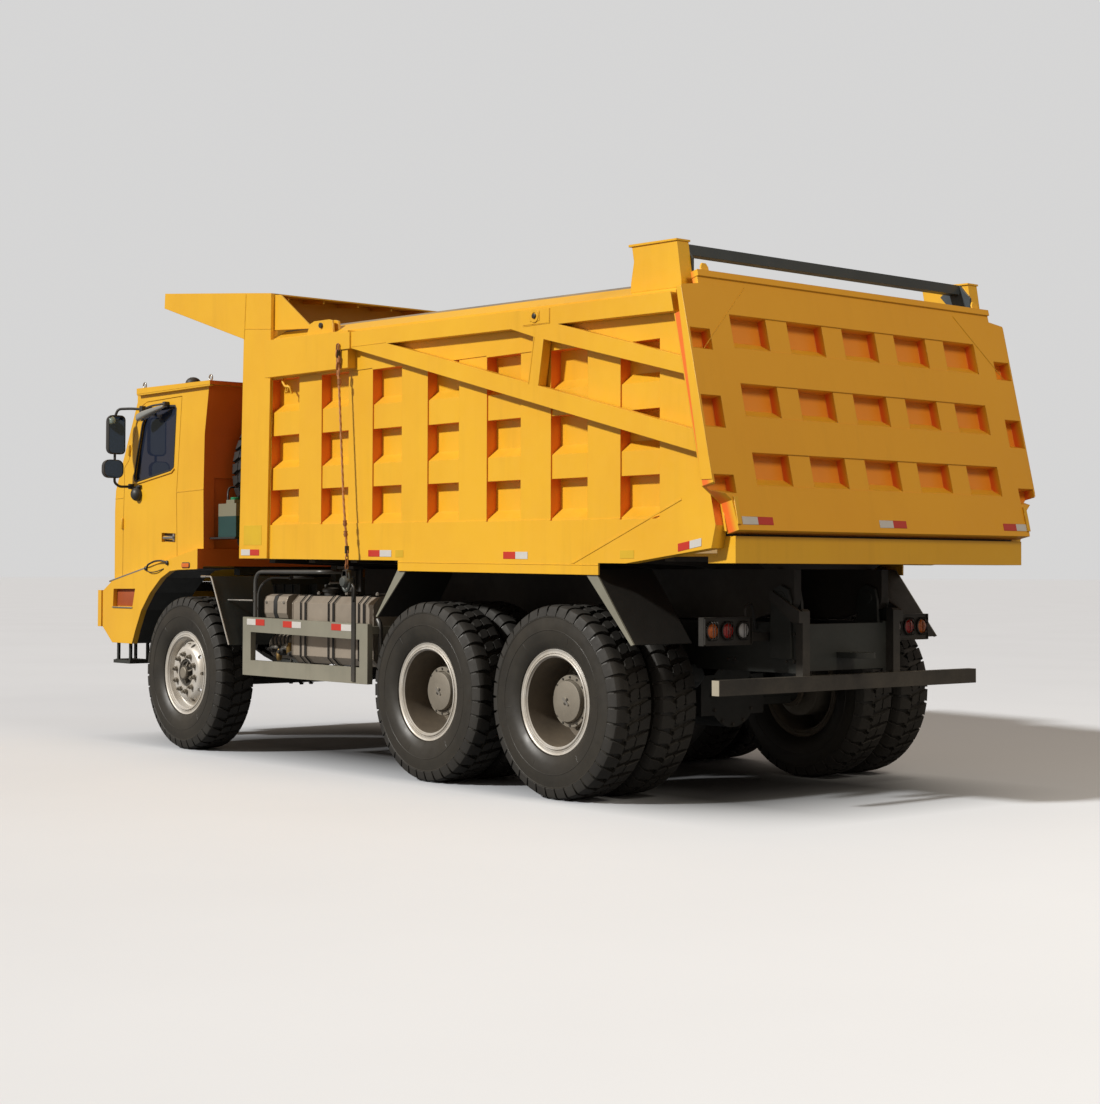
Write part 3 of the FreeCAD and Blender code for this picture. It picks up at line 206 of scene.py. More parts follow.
def dust_group():
    """Mask of settled and splashed dust: on faces that look up, and low down"""
    g, i, o = new_group("dust", "Mask", Amount=0.5, Splash_height=1.2, Scale=3.0)
    place_in = own_coords(g)
    low = math_node(g, "DIVIDE", parts(g, place_in)["Z"], i.outputs["Splash height"])
    low = math_node(g, "SUBTRACT", 1.0, low, True)
    geo = g.nodes.new("ShaderNodeNewGeometry")
    top = ramp(g, parts(g, geo.outputs["Normal"])["Z"], 0.45, 1.0, 0.0, 0.75)
    clouds = ramp(g, noise_node(g, place_in, i.outputs["Scale"], 7.0, 0.62), 0.32, 0.72, 0.15, 1.0)
    fine = ramp(g, noise_node(g, place_in, 60.0, 3.0, 0.6), 0.3, 0.7, 0.7, 1.15)
    m = math_node(g, "ADD", math_node(g, "MAXIMUM", low, top), 0.1)
    g.links.new(times(g, m, clouds, fine, i.outputs["Amount"], clamp=True), o.inputs["Mask"])
    return g


def streak_group():
    """Runs of dirt down upright faces"""
    g, i, o = new_group("streaks", "Mask", Amount=0.3)
    place_in = own_coords(g)
    runs = ramp(g, noise_node(g, place_in, 5.0, 5.0, 0.6, (1.6, 1.6, 0.12)), 0.5, 0.74)
    patches = ramp(g, noise_node(g, place_in, 1.1, 3.0, 0.5), 0.38, 0.66)
    g.links.new(times(g, runs, patches, i.outputs["Amount"], clamp=True), o.inputs["Mask"])
    return g


def fine_bump_group():
    """Height of orange peel or cast skin"""
    g, i, o = new_group("skin", "Height", Scale=300.0, Waves=1.5)
    place_in = own_coords(g)
    fine = noise_node(g, place_in, i.outputs["Scale"], 2.0, 0.5)
    waves = noise_node(g, place_in, i.outputs["Waves"], 2.0, 0.5)
    g.links.new(math_node(g, "ADD", times(g, fine, 0.15), waves), o.inputs["Height"])
    return g


GROUPS = {}
MATS = {}
DUST = (0.33, 0.285, 0.215, 1)


def group(name):
    makers = {"edge_wear": edge_wear_group, "dust": dust_group, "streaks": streak_group,
              "skin": fine_bump_group}
    if name not in GROUPS:
        GROUPS[name] = makers[name]()
    return GROUPS[name]


def place(t, name, **values):
    n = t.nodes.new("ShaderNodeGroup")
    n.node_tree = group(name)
    for k, v in values.items():
        n.inputs[k.replace("_", " ")].default_value = v
    return n.outputs[0]


def mix(t, fac, a, b, mode="MIX"):
    n = t.nodes.new("ShaderNodeMix")
    n.data_type, n.blend_type = "RGBA", mode
    feed(t, fac, n.inputs["Factor"])
    for key, x in (("A", a), ("B", b)):
        s = [q for q in n.inputs if q.name == key and q.type == "RGBA"][0]
        if isinstance(x, (tuple, list)):
            s.default_value = tuple(x)[:3] + (1,)
        else:
            t.links.new(x, s)
    return [q for q in n.outputs if q.type == "RGBA"][0]


def new_mat(name):
    m = bpy.data.materials.new(name)
    m.use_nodes = True
    t = m.node_tree
    return m, t, t.nodes["Principled BSDF"]


def surface(name, colour, tone, rough, dust=0.4, splash=1.2, wear=0.0, wear_colour=(0.05, 0.04, 0.03),
            streaks=0.0, edge=0.005, metallic=0.0, coat=0.0, bump=0.15, skin=300.0, waves=1.5, mottle=2.0,
            dust_colour=DUST):
    """One worn, dusty finish: two tones, streaks, dust, worn edges, a fine skin and rounded edges"""
    m, t, b = new_mat(name)
    place_in = own_coords(t)
    n = noise_node(t, place_in, mottle, 5.0, 0.6)
    col = mix(t, ramp(t, n, 0.35, 0.68), colour, tone)
    if streaks:
        col = mix(t, place(t, "streaks", Amount=streaks), col, tuple(c * 0.55 for c in tone))
    d = place(t, "dust", Amount=dust, Splash_height=splash)
    col = mix(t, d, col, dust_colour)
    if wear:
        w = place(t, "edge_wear", Radius=edge * 1.3, Amount=wear)
        col = mix(t, w, col, wear_colour)
    t.links.new(col, b.inputs["Base Color"])
    r = ramp(t, d, 0.0, 1.0, rough, min(1.0, rough + 0.45))
    fine = noise_node(t, place_in, 14.0, 4.0, 0.6)
    r = math_node(t, "ADD", r, ramp(t, fine, 0.3, 0.7, -0.05, 0.07), True)
    t.links.new(r, b.inputs["Roughness"])
    b.inputs["Metallic"].default_value = metallic
    b.inputs["Coat Weight"].default_value = coat
    b.inputs["Coat Roughness"].default_value = 0.18
    bump_n = t.nodes.new("ShaderNodeBump")
    bump_n.inputs["Strength"].default_value = bump
    bump_n.inputs["Distance"].default_value = 0.002
    t.links.new(place(t, "skin", Scale=skin, Waves=waves), bump_n.inputs["Height"])
    if edge:
        bevel = t.nodes.new("ShaderNodeBevel")
        bevel.samples = 4
        bevel.inputs["Radius"].default_value = edge
        t.links.new(bevel.outputs["Normal"], bump_n.inputs["Normal"])
    t.links.new(bump_n.outputs["Normal"], b.inputs["Normal"])
    MATS[name] = m
    return m


def plain(name, colour, rough, metallic=0.0, transmission=0.0, ior=1.45, coat=0.0, speck=0.06):
    """A clean, smooth finish with a little variation"""
    m, t, b = new_mat(name)
    n = noise_node(t, own_coords(t), 9.0, 5.0, 0.6)
    col = mix(t, ramp(t, n, 0.3, 0.7), colour, tuple(max(0.0, c * (1 - 3 * speck)) for c in colour))
    t.links.new(col, b.inputs["Base Color"])
    t.links.new(ramp(t, n, 0.3, 0.7, max(0.0, rough - speck), min(1.0, rough + speck)), b.inputs["Roughness"])
    b.inputs["Metallic"].default_value = metallic
    b.inputs["Transmission Weight"].default_value = transmission
    b.inputs["IOR"].default_value = ior
    b.inputs["Coat Weight"].default_value = coat
    MATS[name] = m
    return m


def split_coords(t):
    "x, y and z of the object coordinates and of the object's own normal"
    tc = t.nodes.new("ShaderNodeTexCoord")
    return [parts(t, tc.outputs[label]) for label in ("Object", "Normal")]


def band(t, value, lo, hi, soft=0.001):
    "1 where the value lies between two bounds"
    return times(t, ramp(t, value, lo - soft, lo), ramp(t, value, hi + soft, hi))


def overlay(m, mask, colour):
    "lays another colour over a finish where the mask is on"
    t, b = m.node_tree, m.node_tree.nodes["Principled BSDF"]
    under = b.inputs["Base Color"].links[0].from_socket
    t.links.new(mix(t, mask, under, colour), b.inputs["Base Color"])


PAINTED_SHADE_ORANGE = (0.85, 0.125, 0.02)         # painted shade: body paint as it looks where light has bounced between its own walls


def size_of(t, value):
    return math_node(t, "ABSOLUTE", value)


def scaled(c, factors):
    "a colour times one factor or one for each channel"
    if isinstance(factors, float):
        factors = (factors,) * 3
    return tuple(x * f for x, f in zip(c, factors))


def body_finish(name, paint):
    c = tuple(paint.body)
    return surface(name, c, scaled(c, (0.93, 0.88, 0.9)), 0.4, dust=paint.dust * 0.25, splash=1.9, wear=0.3,
                   wear_colour=(0.3, 0.13, 0.02), streaks=0.22, edge=paint.edge, coat=0.12, bump=0.1,
                   mottle=0.9)


def load_worn(t):
    "steel scraped by loads"
    scrape = noise_node(t, own_coords(t), 3.2, 8.0, 0.7, (1.0, 0.35, 1.0))
    return mix(t, ramp(t, scrape, 0.42, 0.6), (0.34, 0.24, 0.12), (0.2, 0.175, 0.15))


def bed_side_paint(paint):
    """body paint, with painted shade on its pocket walls, its inside scraped"""
    m = body_finish("bed_side_paint", paint)
    t = m.node_tree
    at, facing = split_coords(t)
    x = size_of(t, at["X"])
    # painted shade on the pocket walls that face front, rear or down
    wall = math_node(t, "MAXIMUM", ramp(t, size_of(t, facing["Y"]), 0.55, 0.75),
                     ramp(t, facing["Z"], -0.3, -0.6))
    overlay(m, times(t, wall, band(t, x, 1.513, 1.6085), band(t, at["Z"], 1.9, 3.26), 0.75), PAINTED_SHADE_ORANGE)
    overlay(m, ramp(t, x, 1.503, 1.4995), load_worn(t))


def gate_paint(paint):
    """body paint with painted shade: its pocket floors and other rear-facing faces a little deeper, the
    pockets' walls and tops more; its inside scraped
    """
    m = body_finish("gate_paint", paint)
    t = m.node_tree
    at, facing = split_coords(t)
    # painted shade: faces that look rearwards turn more orange
    overlay(m, ramp(t, facing["Y"], 0.5, 0.8, 0.0, 0.5), (0.86, 0.36, 0.012))
    plane = math_node(t, "ADD", times(t, at["Z"], -LEAN), GATE_Y + Y0 + LEAN * GATE_Z)
    depth = math_node(t, "SUBTRACT", plane, at["Y"])
    # painted shade on the pocket walls and tops, less on faces that look up
    inside = times(t, ramp(t, depth, 0.014, 0.06), ramp(t, size_of(t, facing["X"]), 0.5, 0.8, 0.45, 1.0),
                   ramp(t, facing["Z"], 0.35, 0.6, 1.0, 0.1), ramp(t, depth, 0.104, 0.1))
    overlay(m, times(t, inside, 0.85), PAINTED_SHADE_ORANGE)
    overlay(m, ramp(t, depth, 0.1125, 0.1135), load_worn(t))


def cab_paint(paint):
    "body paint; the back wall faces the bed's front and takes that wall's colour"
    m = body_finish("cab_paint", paint)
    t = m.node_tree
    at, facing = split_coords(t)
    # painted shade on faces behind the front axle that look rearwards
    overlay(m, times(t, ramp(t, at["Y"], Y0 + 0.02, Y0 + 0.06), ramp(t, facing["Y"], 0.5, 0.8, 0.0, 0.85)),
            PAINTED_SHADE_ORANGE)


def bed_floor_paint(paint):
    "body paint, scraped above, its sill's top darker"
    m = body_finish("bed_floor_paint", paint)
    t = m.node_tree
    at, facing = split_coords(t)
    up = ramp(t, facing["Z"], 0.5, 0.8)
    # painted shadow on the sill's top
    overlay(m, times(t, up, ramp(t, at["Y"], Y0 + 6.55, Y0 + 6.56)), (0.22, 0.085, 0.012))
    overlay(m, times(t, up, ramp(t, at["Y"], Y0 + 6.51, Y0 + 6.5)), load_worn(t))
    # painted shade on faces that look down
    overlay(m, ramp(t, facing["Z"], -0.5, -0.8), (0.2, 0.045, 0.01))


def mudguard_paint(paint):
    """pale on the outer edge strip, dark on the plates behind it as painted shade"""
    c = tuple(paint.guards)
    m = surface("mudguard_paint", c, scaled(c, 0.82), 0.55, dust=0.3, splash=1.6, wear=0.2, edge=0.004)
    t = m.node_tree
    x = split_coords(t)[0]["X"]
    # painted shade: the plates behind the edge strip nearly black
    overlay(m, ramp(t, size_of(t, x), 1.5835, 1.5825), (0.022, 0.021, 0.018))


def strap_paint():
    "black, with the middle of each strap in the tank's colour"
    m = surface("strap_paint", (0.02, 0.02, 0.02), (0.04, 0.038, 0.035), 0.42, dust=0.3, splash=1.3,
                edge=0.002, metallic=0.3)
    t = m.node_tree
    at = split_coords(t)[0]
    on = None
    for centre in STRAPS:
        one = band(t, at["Y"], Y0 + centre - 0.015, Y0 + centre + 0.015)
        on = one if on is None else math_node(t, "MAXIMUM", on, one)
    overlay(m, times(t, on, band(t, at["X"], 0.985, 1.512)), (0.35, 0.3, 0.245))


def coolant_plastic():
    "pale plastic above the level, dark teal below"
    m = surface("coolant_plastic", (0.012, 0.055, 0.052), (0.01, 0.045, 0.044), 0.35, dust=0.15, edge=0.01)
    t = m.node_tree
    overlay(m, ramp(t, split_coords(t)[0]["Z"], 2.085, 2.09), (0.2, 0.19, 0.13))


def make_materials(paint):
    body_finish("body_paint", paint)
    c = tuple(paint.chassis)
    surface("chassis_paint", c, scaled(c, 1.7), 0.5, dust=paint.dust * 0.45, splash=1.5, wear=0.25,
            wear_colour=(0.1, 0.085, 0.07), edge=0.004, dust_colour=(0.16, 0.14, 0.11, 1))
    surface("engine_paint", (0.045, 0.055, 0.06), (0.03, 0.035, 0.04), 0.5, dust=0.5, edge=0.008,
            dust_colour=(0.16, 0.14, 0.11, 1))
    c = tuple(paint.guards)
    surface("guard_paint", c, scaled(c, 0.82), 0.55, dust=0.5, splash=1.6, wear=0.3,
            wear_colour=(0.12, 0.1, 0.07), streaks=0.25, edge=0.004)
    c = tuple(paint.beam)
    surface("beam_paint", c, scaled(c, 0.75), 0.42, dust=0.35, wear=0.3, wear_colour=(0.2, 0.2, 0.2),
            edge=0.004)
    c = tuple(paint.rims)
    surface("rim_paint", c, scaled(c, (0.8, 0.76, 0.7)), 0.38, dust=0.35, splash=1.8, wear=0.2,
            edge=0.003, metallic=0.3, mottle=6.0)
    surface("rim_barrel", (0.15, 0.12, 0.085), (0.085, 0.068, 0.05), 0.5, dust=0.3, splash=2.0, edge=0.003,
            mottle=4.0, dust_colour=(0.2, 0.17, 0.13, 1))
    surface("hub_paint", (0.25, 0.225, 0.185), (0.18, 0.16, 0.13), 0.5, dust=0.3, splash=1.6, edge=0.003,
            metallic=0.3, mottle=7.0)
    surface("dark_hub", (0.05, 0.048, 0.045), (0.03, 0.03, 0.03), 0.45, dust=0.4, splash=1.4, edge=0.002,
            metallic=0.5)
    surface("tyre_rubber", (0.027, 0.0235, 0.0175), (0.01, 0.009, 0.007), 0.42, dust=0.12, splash=1.5,
            edge=0.003, bump=0.35, skin=160.0, waves=6.0, mottle=3.0, dust_colour=(0.115, 0.1, 0.078, 1))
    surface("tread_rubber", (0.021, 0.0195, 0.0165), (0.012, 0.011, 0.0095), 0.7, dust=0.13, splash=1.6,
            edge=0.004, bump=0.4, skin=120.0, waves=9.0, mottle=5.0, dust_colour=(0.12, 0.105, 0.085, 1))
    surface("tank_paint", (0.4, 0.345, 0.28), (0.32, 0.275, 0.225), 0.34, dust=0.2, splash=1.4, wear=0.1,
            edge=0.006, metallic=0.35, mottle=3.0)
    surface("black_plastic", (0.022, 0.022, 0.023), (0.034, 0.033, 0.032), 0.5, dust=0.3, splash=1.2,
            edge=0.003, bump=0.25, skin=500.0)
    # black steel, also used as painted shade on the rear bumper and in the slit at the tailgate's foot
    surface("black_steel_and_painted_shade", (0.02, 0.02, 0.02), (0.04, 0.038, 0.035), 0.42, dust=0.4, splash=1.3, edge=0.003,
            metallic=0.3)
    surface("rope_steel", (0.5, 0.21, 0.06), (0.3, 0.12, 0.035), 0.6, dust=0.2, edge=0.0, metallic=0.1,
            skin=900.0, bump=0.5)
    surface("chain_rust", (0.42, 0.17, 0.06), (0.24, 0.095, 0.035), 0.65, dust=0.2, edge=0.0, metallic=0.4,
            mottle=30.0)
    surface("seat_fabric", (0.035, 0.037, 0.042), (0.05, 0.05, 0.055), 0.9, dust=0.1, edge=0.0, bump=0.6,
            skin=700.0)
    surface("green_cap", (0.02, 0.28, 0.12), (0.015, 0.2, 0.09), 0.4, dust=0.1, edge=0.003)
    surface("sheet_yellow", (0.66, 0.42, 0.012), (0.58, 0.35, 0.012), 0.55, dust=0.15, edge=0.0)
    surface("rubber_seal", (0.012, 0.012, 0.013), (0.02, 0.02, 0.02), 0.55, dust=0.15, edge=0.002, bump=0.2)
    # painted shade: body paint as it looks inside the headlamp recesses
    surface("recess_painted_shade", (0.36, 0.075, 0.016), (0.3, 0.06, 0.014), 0.5, dust=0.15, edge=0.003)
    surface("canister_white", (0.52, 0.51, 0.47), (0.4, 0.39, 0.36), 0.45, dust=0.3, splash=2.0, edge=0.003)
    surface("pipe_grey", (0.13, 0.13, 0.125), (0.09, 0.09, 0.088), 0.38, dust=0.3, splash=1.6, edge=0.0,
            metallic=0.6)
    surface("brass", (0.38, 0.24, 0.08), (0.26, 0.17, 0.06), 0.4, dust=0.3, edge=0.0, metallic=0.8)
    # pale sheet, also used as a painted highlight on the rear bumper's sunlit end
    surface("sheet_white_and_painted_highlight", (0.42, 0.38, 0.29), (0.34, 0.31, 0.24), 0.45, dust=0.3, edge=0.002)
    surface("shackle_grey", (0.1, 0.115, 0.11), (0.07, 0.075, 0.07), 0.5, dust=0.35, edge=0.0, metallic=0.4)
    # painted shade: the bed's beams, body-coloured steel, nearly black as they look in shade
    surface("bed_under_painted_shade", (0.03, 0.026, 0.02), (0.018, 0.017, 0.015), 0.6, dust=0.4, splash=2.2, edge=0.005,
            dust_colour=(0.055, 0.045, 0.035, 1))
    plain("smoked_plastic", (0.3, 0.31, 0.3), 0.22, coat=1.0)
    plain("hoist_chrome", (0.7, 0.7, 0.71), 0.12, metallic=1.0)
    plain("zinc", (0.52, 0.5, 0.46), 0.35, metallic=0.9)
    plain("mirror_glass", (0.62, 0.74, 0.7), 0.04, metallic=1.0, speck=0.02)
    plain("window_glass", (0.016, 0.022, 0.042), 0.04, speck=0.02)
    plain("lamp_red", (0.5, 0.015, 0.01), 0.14, coat=1.0)
    plain("lamp_orange", (0.75, 0.16, 0.01), 0.14, coat=1.0)
    plain("lamp_clear", (0.62, 0.62, 0.62), 0.1, coat=1.0)
    plain("reflector_red", (0.55, 0.035, 0.02), 0.22, coat=0.5, speck=0.03)
    plain("reflector_white", (0.62, 0.6, 0.57), 0.25, coat=0.5, speck=0.03)


# ---- mesh helpers
def P(x, y, z):
    "a point measured from the front axle, in the row frame"
    return Vector((x, y + Y0, z))


AXES = {"x": (1, 0, 0), "y": (0, 1, 0), "z": (0, 0, 1)}


def across(axis):
    "a unit vector along an axis, given by letter or vector, and two more square to it"
    u = Vector(AXES[axis] if isinstance(axis, str) else axis).normalized()
    w1 = u.orthogonal().normalized()
    return u, w1, u.cross(w1)


def turn(k, n):
    "angle of the k-th of n places round a circle"
    return 2 * math.pi * k / n


def circle(centre, w1, w2, r, n):
    "points round a centre, in the plane of two vectors"
    return [centre + (w1 * math.cos(turn(k, n)) + w2 * math.sin(turn(k, n))) * r for k in range(n)]


def sleeve(a, b, n):
    "quads between two rings of n points that start at a and b"
    return [(a + i, a + (i + 1) % n, b + (i + 1) % n, b + i) for i in range(n)]


class Shape:
    """Faces with a material index each, gathered into one mesh"""

    def __init__(self):
        self.v, self.f, self.m = [], [], []

    def add(self, verts, faces, mat=0):
        n = len(self.v)
        self.v += [Vector(p) for p in verts]
        self.f += [tuple(n + i for i in q) for q in faces]
        self.m += [mat] * len(faces)

    def loft(self, rings, mat=0):
        "closed solid through like outlines"
        n, last = len(rings[0]), len(rings) - 1
        faces = [tuple(range(n))[::-1], tuple(range(last * n, (last + 1) * n))]
        for k in range(last):
            faces += sleeve(k * n, (k + 1) * n, n)
        self.add([p for ring in rings for p in ring], faces, mat)

    def prism(self, ring_a, ring_b, mat=0):
        self.loft([ring_a, ring_b], mat)

    def slab(self, poly, axis, a, b, mat=0):
        "outline in the plane across axis, from a to b"
        def pt(u, w, t):
            return P(*{"x": (t, u, w), "y": (u, t, w), "z": (u, w, t)}[axis])
        self.prism([pt(u, w, a) for u, w in poly], [pt(u, w, b) for u, w in poly], mat)

    def block(self, x0, x1, y0, y1, z0, z1, mat=0):
        self.slab([(y0, z0), (y1, z0), (y1, z1), (y0, z1)], "x", x0, x1, mat)

    def lathe(self, profile, centre, axis="x", n=64, mat=0, mats=None):
        "profile of (along, radius) points turned round an axis, closed unless it ends in poles of radius 0"
        closed = profile[0][1] > 0 or profile[-1][1] > 0
        u, w1, w2 = across(axis)
        c = P(*centre)
        rings, verts = [], []
        for t, r in profile:
            if r < 1e-6:
                rings.append([len(verts)] * n)
                verts.append(c + u * t)
            else:
                rings.append(list(range(len(verts), len(verts) + n)))
                verts += circle(c + u * t, w1, w2, r, n)
        base = len(self.v)
        self.v += verts
        for j in range(len(profile) if closed else len(profile) - 1):
            a, b = rings[j], rings[(j + 1) % len(profile)]
            for k in range(n):
                q = [a[k], a[(k + 1) % n], b[(k + 1) % n], b[k]]
                q = [x for i, x in enumerate(q) if x not in q[:i]]
                if len(q) > 2:
                    self.f.append(tuple(base + x for x in q))
                    self.m.append(mats[j] if mats else mat)

    def rod(self, a, b, r, centre, axis="x", n=64, mat=0):
        "plain cylinder from a to b along an axis through a centre"
        self.lathe([(a, 0), (a, r), (b, r), (b, 0)], centre, axis, n, mat)

    def pipe(self, pts, r, n=10, mat=0, closed=False, flat=1.0):
        "round bar along points, its ends capped or joined up"
        pts = [Vector(p) for p in pts]
        k = len(pts)
        nrm = (pts[1] - pts[0]).normalized().orthogonal().normalized()
        rings = []
        for i, p in enumerate(pts):
            if closed:
                t = (pts[(i + 1) % k] - pts[i - 1]).normalized()
            else:
                t = (pts[min(i + 1, k - 1)] - pts[max(i - 1, 0)]).normalized()
            nrm = (nrm - t * nrm.dot(t)).normalized()
            radius = r[i] if isinstance(r, (list, tuple)) else r
            rings.append(circle(p, nrm, t.cross(nrm) * flat, radius, n))
        if not closed:
            self.loft(rings, mat)
            return
        faces = []
        for i in range(k):
            faces += sleeve(i * n, (i + 1) % k * n, n)
        self.add([q for ring in rings for q in ring], faces, mat)

    def bolt(self, centre, axis, r, h, mat=0, washer=True):
        "hexagon head on a washer"
        u, w1, w2 = across(axis)
        c = P(*centre)
        if washer:
            self.disc(c, axis, r * 1.35, h * 0.25, 14, mat)
        self.loft([circle(c + u * t, w1, w2, k, 6) for t, k in ((0, r), (h * 0.85, r), (h, r * 0.86))], mat)

    def disc(self, c, axis, r, h, n=24, mat=0, r2=None):
        "short drum standing on point c along an axis"
        u, w1, w2 = across(axis)
        self.prism(circle(c, w1, w2, r, n), circle(c + u * h, w1, w2, r2 or r, n), mat)

    def mirrored(self):
        "adds the same again on the other side of the middle plane"
        n = len(self.v)
        self.v += [Vector((-p.x, p.y, p.z)) for p in self.v[:n]]
        k = len(self.f)
        self.f += [tuple(n + i for i in q)[::-1] for q in self.f[:k]]
        self.m += self.m[:k]

    def build(self, name, mats, smooth=30.0, bevel=0.0, segments=2, weld=True):
        me = bpy.data.meshes.new(name)
        me.from_pydata([tuple(p) for p in self.v], [], self.f)
        for m in mats:
            me.materials.append(MATS[m])
        me.polygons.foreach_set("material_index", self.m)
        bm = bmesh.new()
        bm.from_mesh(me)
        if weld:
            bmesh.ops.remove_doubles(bm, verts=bm.verts, dist=1e-5)
        bmesh.ops.recalc_face_normals(bm, faces=bm.faces)
        bm.to_mesh(me)
        bm.free()
        ob = linked(name, me)
        if bevel:
            mod = ob.modifiers.new("edges", "BEVEL")
            mod.width, mod.segments = bevel, segments
            mod.limit_method, mod.angle_limit = "ANGLE", math.radians(35)
            mod.use_clamp_overlap = True
            ob = flatten(ob)
        if smooth:
            soften(ob.data, smooth)
        return ob


def soften(me, angle):
    me.polygons.foreach_set("use_smooth", [True] * len(me.polygons))
    me.set_sharp_from_angle(angle=math.radians(angle))


def flatten(ob):
    "turns an object's modifiers into plain mesh"
    dg = bpy.context.evaluated_depsgraph_get()
    me = bpy.data.meshes.new_from_object(ob.evaluated_get(dg), depsgraph=dg)
    ob.modifiers.clear()
    old = ob.data
    ob.data = me
    me.name = ob.name
    if old.users == 0:
        bpy.data.meshes.remove(old)
    return ob


def linked(name, me):
    ob = bpy.data.objects.new(name, me)
    bpy.context.scene.collection.objects.link(ob)
    return ob


def joined(name, obs):
    "several meshes as one, materials kept"
    bm = bmesh.new()
    mats = []
    for ob in obs:
        index = []
        for m in ob.data.materials:
            if m not in mats:
                mats.append(m)
            index.append(mats.index(m))
        n = len(bm.faces)
        bm.from_mesh(ob.data)
        bm.faces.ensure_lookup_table()
        for f in bm.faces[n:]:
            f.material_index = index[min(f.material_index, len(index) - 1)] if index else 0
    me = bpy.data.meshes.new(name)
    for m in mats:
        me.materials.append(m)
    bm.to_mesh(me)
    bm.free()
    for ob in obs:
        bpy.data.objects.remove(ob)
    return linked(name, me)


# ---- geometry node trees
def tree_input(t, name, kind, value):
    s = t.interface.new_socket(name, in_out="INPUT", socket_type=kind)
    if value is not None:
        s.default_value = value
    return s


def copies_tree(kind):
    """Copies of a mesh, either turned round an axis through a centre (spin) or in a straight row"""
    t = bpy.data.node_groups.new(kind + "_copies", "GeometryNodeTree")
    t.interface.new_socket("Geometry", in_out="INPUT", socket_type="NodeSocketGeometry")
    tree_input(t, "Count", "NodeSocketInt", 12)
    if kind == "spin":
        tree_input(t, "Axis", "NodeSocketVector", (1, 0, 0))
        tree_input(t, "Centre", "NodeSocketVector", (0, 0, 0))
        tree_input(t, "Start", "NodeSocketFloat", 0.0)
    else:
        tree_input(t, "Step", "NodeSocketVector", (0, 0, 0.1))
    tree_input(t, "Finish", "NodeSocketMaterial", None)
    t.interface.new_socket("Geometry", in_out="OUTPUT", socket_type="NodeSocketGeometry")
    N, L = t.nodes.new, t.links.new
    gi, go = N("NodeGroupInput"), N("NodeGroupOutput")
    line = N("GeometryNodeMeshLine")
    L(gi.outputs["Count"], line.inputs["Count"])
    inst = N("GeometryNodeInstanceOnPoints")
    L(line.outputs[0], inst.inputs["Points"])
    L(gi.outputs["Geometry"], inst.inputs["Instance"])
    real = N("GeometryNodeRealizeInstances")
    L(inst.outputs[0], real.inputs[0])
    last = real
    if kind == "spin":
        line.inputs["Offset"].default_value = (0, 0, 0)
        angle = math_node(t, "DIVIDE", N("GeometryNodeInputIndex").outputs[0], gi.outputs["Count"])
        angle = math_node(t, "ADD", math_node(t, "MULTIPLY", angle, 2 * math.pi), gi.outputs["Start"])
        rot = N("FunctionNodeAxisAngleToRotation")
        L(gi.outputs["Axis"], rot.inputs["Axis"])
        L(angle, rot.inputs["Angle"])
        L(rot.outputs[0], inst.inputs["Rotation"])
        last = N("GeometryNodeTransform")
        L(real.outputs[0], last.inputs["Geometry"])
        L(gi.outputs["Centre"], last.inputs["Translation"])
    else:
        L(gi.outputs["Step"], line.inputs["Offset"])
    paint = N("GeometryNodeSetMaterial")
    L(last.outputs[0], paint.inputs["Geometry"])
    L(gi.outputs["Finish"], paint.inputs["Material"])
    L(paint.outputs[0], go.inputs[0])
    return t


TREES = {}


def run_tree(ob, kind, finish, **values):
    "puts a tree on an object, sets its inputs and turns the result into plain mesh"
    if kind not in TREES:
        TREES[kind] = copies_tree(kind)
    tree = TREES[kind]
    mod = ob.modifiers.new(kind, "NODES")
    mod.node_group = tree
    ids = {s.name: s.identifier for s in tree.interface.items_tree
           if s.item_type == "SOCKET" and s.in_out == "INPUT"}
    for k, v in values.items():
        mod[ids[k]] = v
    mod[ids["Finish"]] = MATS[finish]
    return flatten(ob)


def copied(shape, name, finish, kind, smooth=30.0, **values):
    ob = run_tree(shape.build(name, [finish], smooth=0), kind, finish, **values)
    if smooth:
        soften(ob.data, smooth)
    return ob


def spun(shape, name, finish, count, centre, start=0.0, smooth=30.0):
    return copied(shape, name, finish, "spin", smooth, Count=count, Centre=tuple(centre), Start=start)


def rowed(shape, name, finish, count, step, smooth=30.0):
    return copied(shape, name, finish, "row", smooth, Count=count, Step=step)


def settle(ob, body, slot, *replaced):
    """gives a piece its body and hides the nodes it stands for; its slot is not used"""
    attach(ob, body)
    if replaced:
        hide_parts(*replaced)
    return ob


# ---- wheels
def tyre_profile(depth):
    "half-open section of the casing, along and radius, from one bead to the other, outside only"
    half = [(0.127, 0.366), (0.136, 0.374), (0.15, 0.38), (0.158, 0.392), (0.172, 0.417), (0.178, 0.44),
            (0.1835, 0.47), (0.1862, 0.5), (0.1862, 0.5035), (0.1885, 0.5045), (0.1888, 0.5085),
            (0.1868, 0.51), (0.1868, 0.53), (0.184, 0.56), (0.179, 0.59), (0.1785, 0.594), (0.1808, 0.596),
            (0.1805, 0.601), (0.176, 0.603), (0.17, 0.622), (0.158, 0.645), (0.14, TYRE_R - depth),
            (0.0, TYRE_R - depth + 0.002)]
    return half + [(-x, r) for x, r in half[-2::-1]]


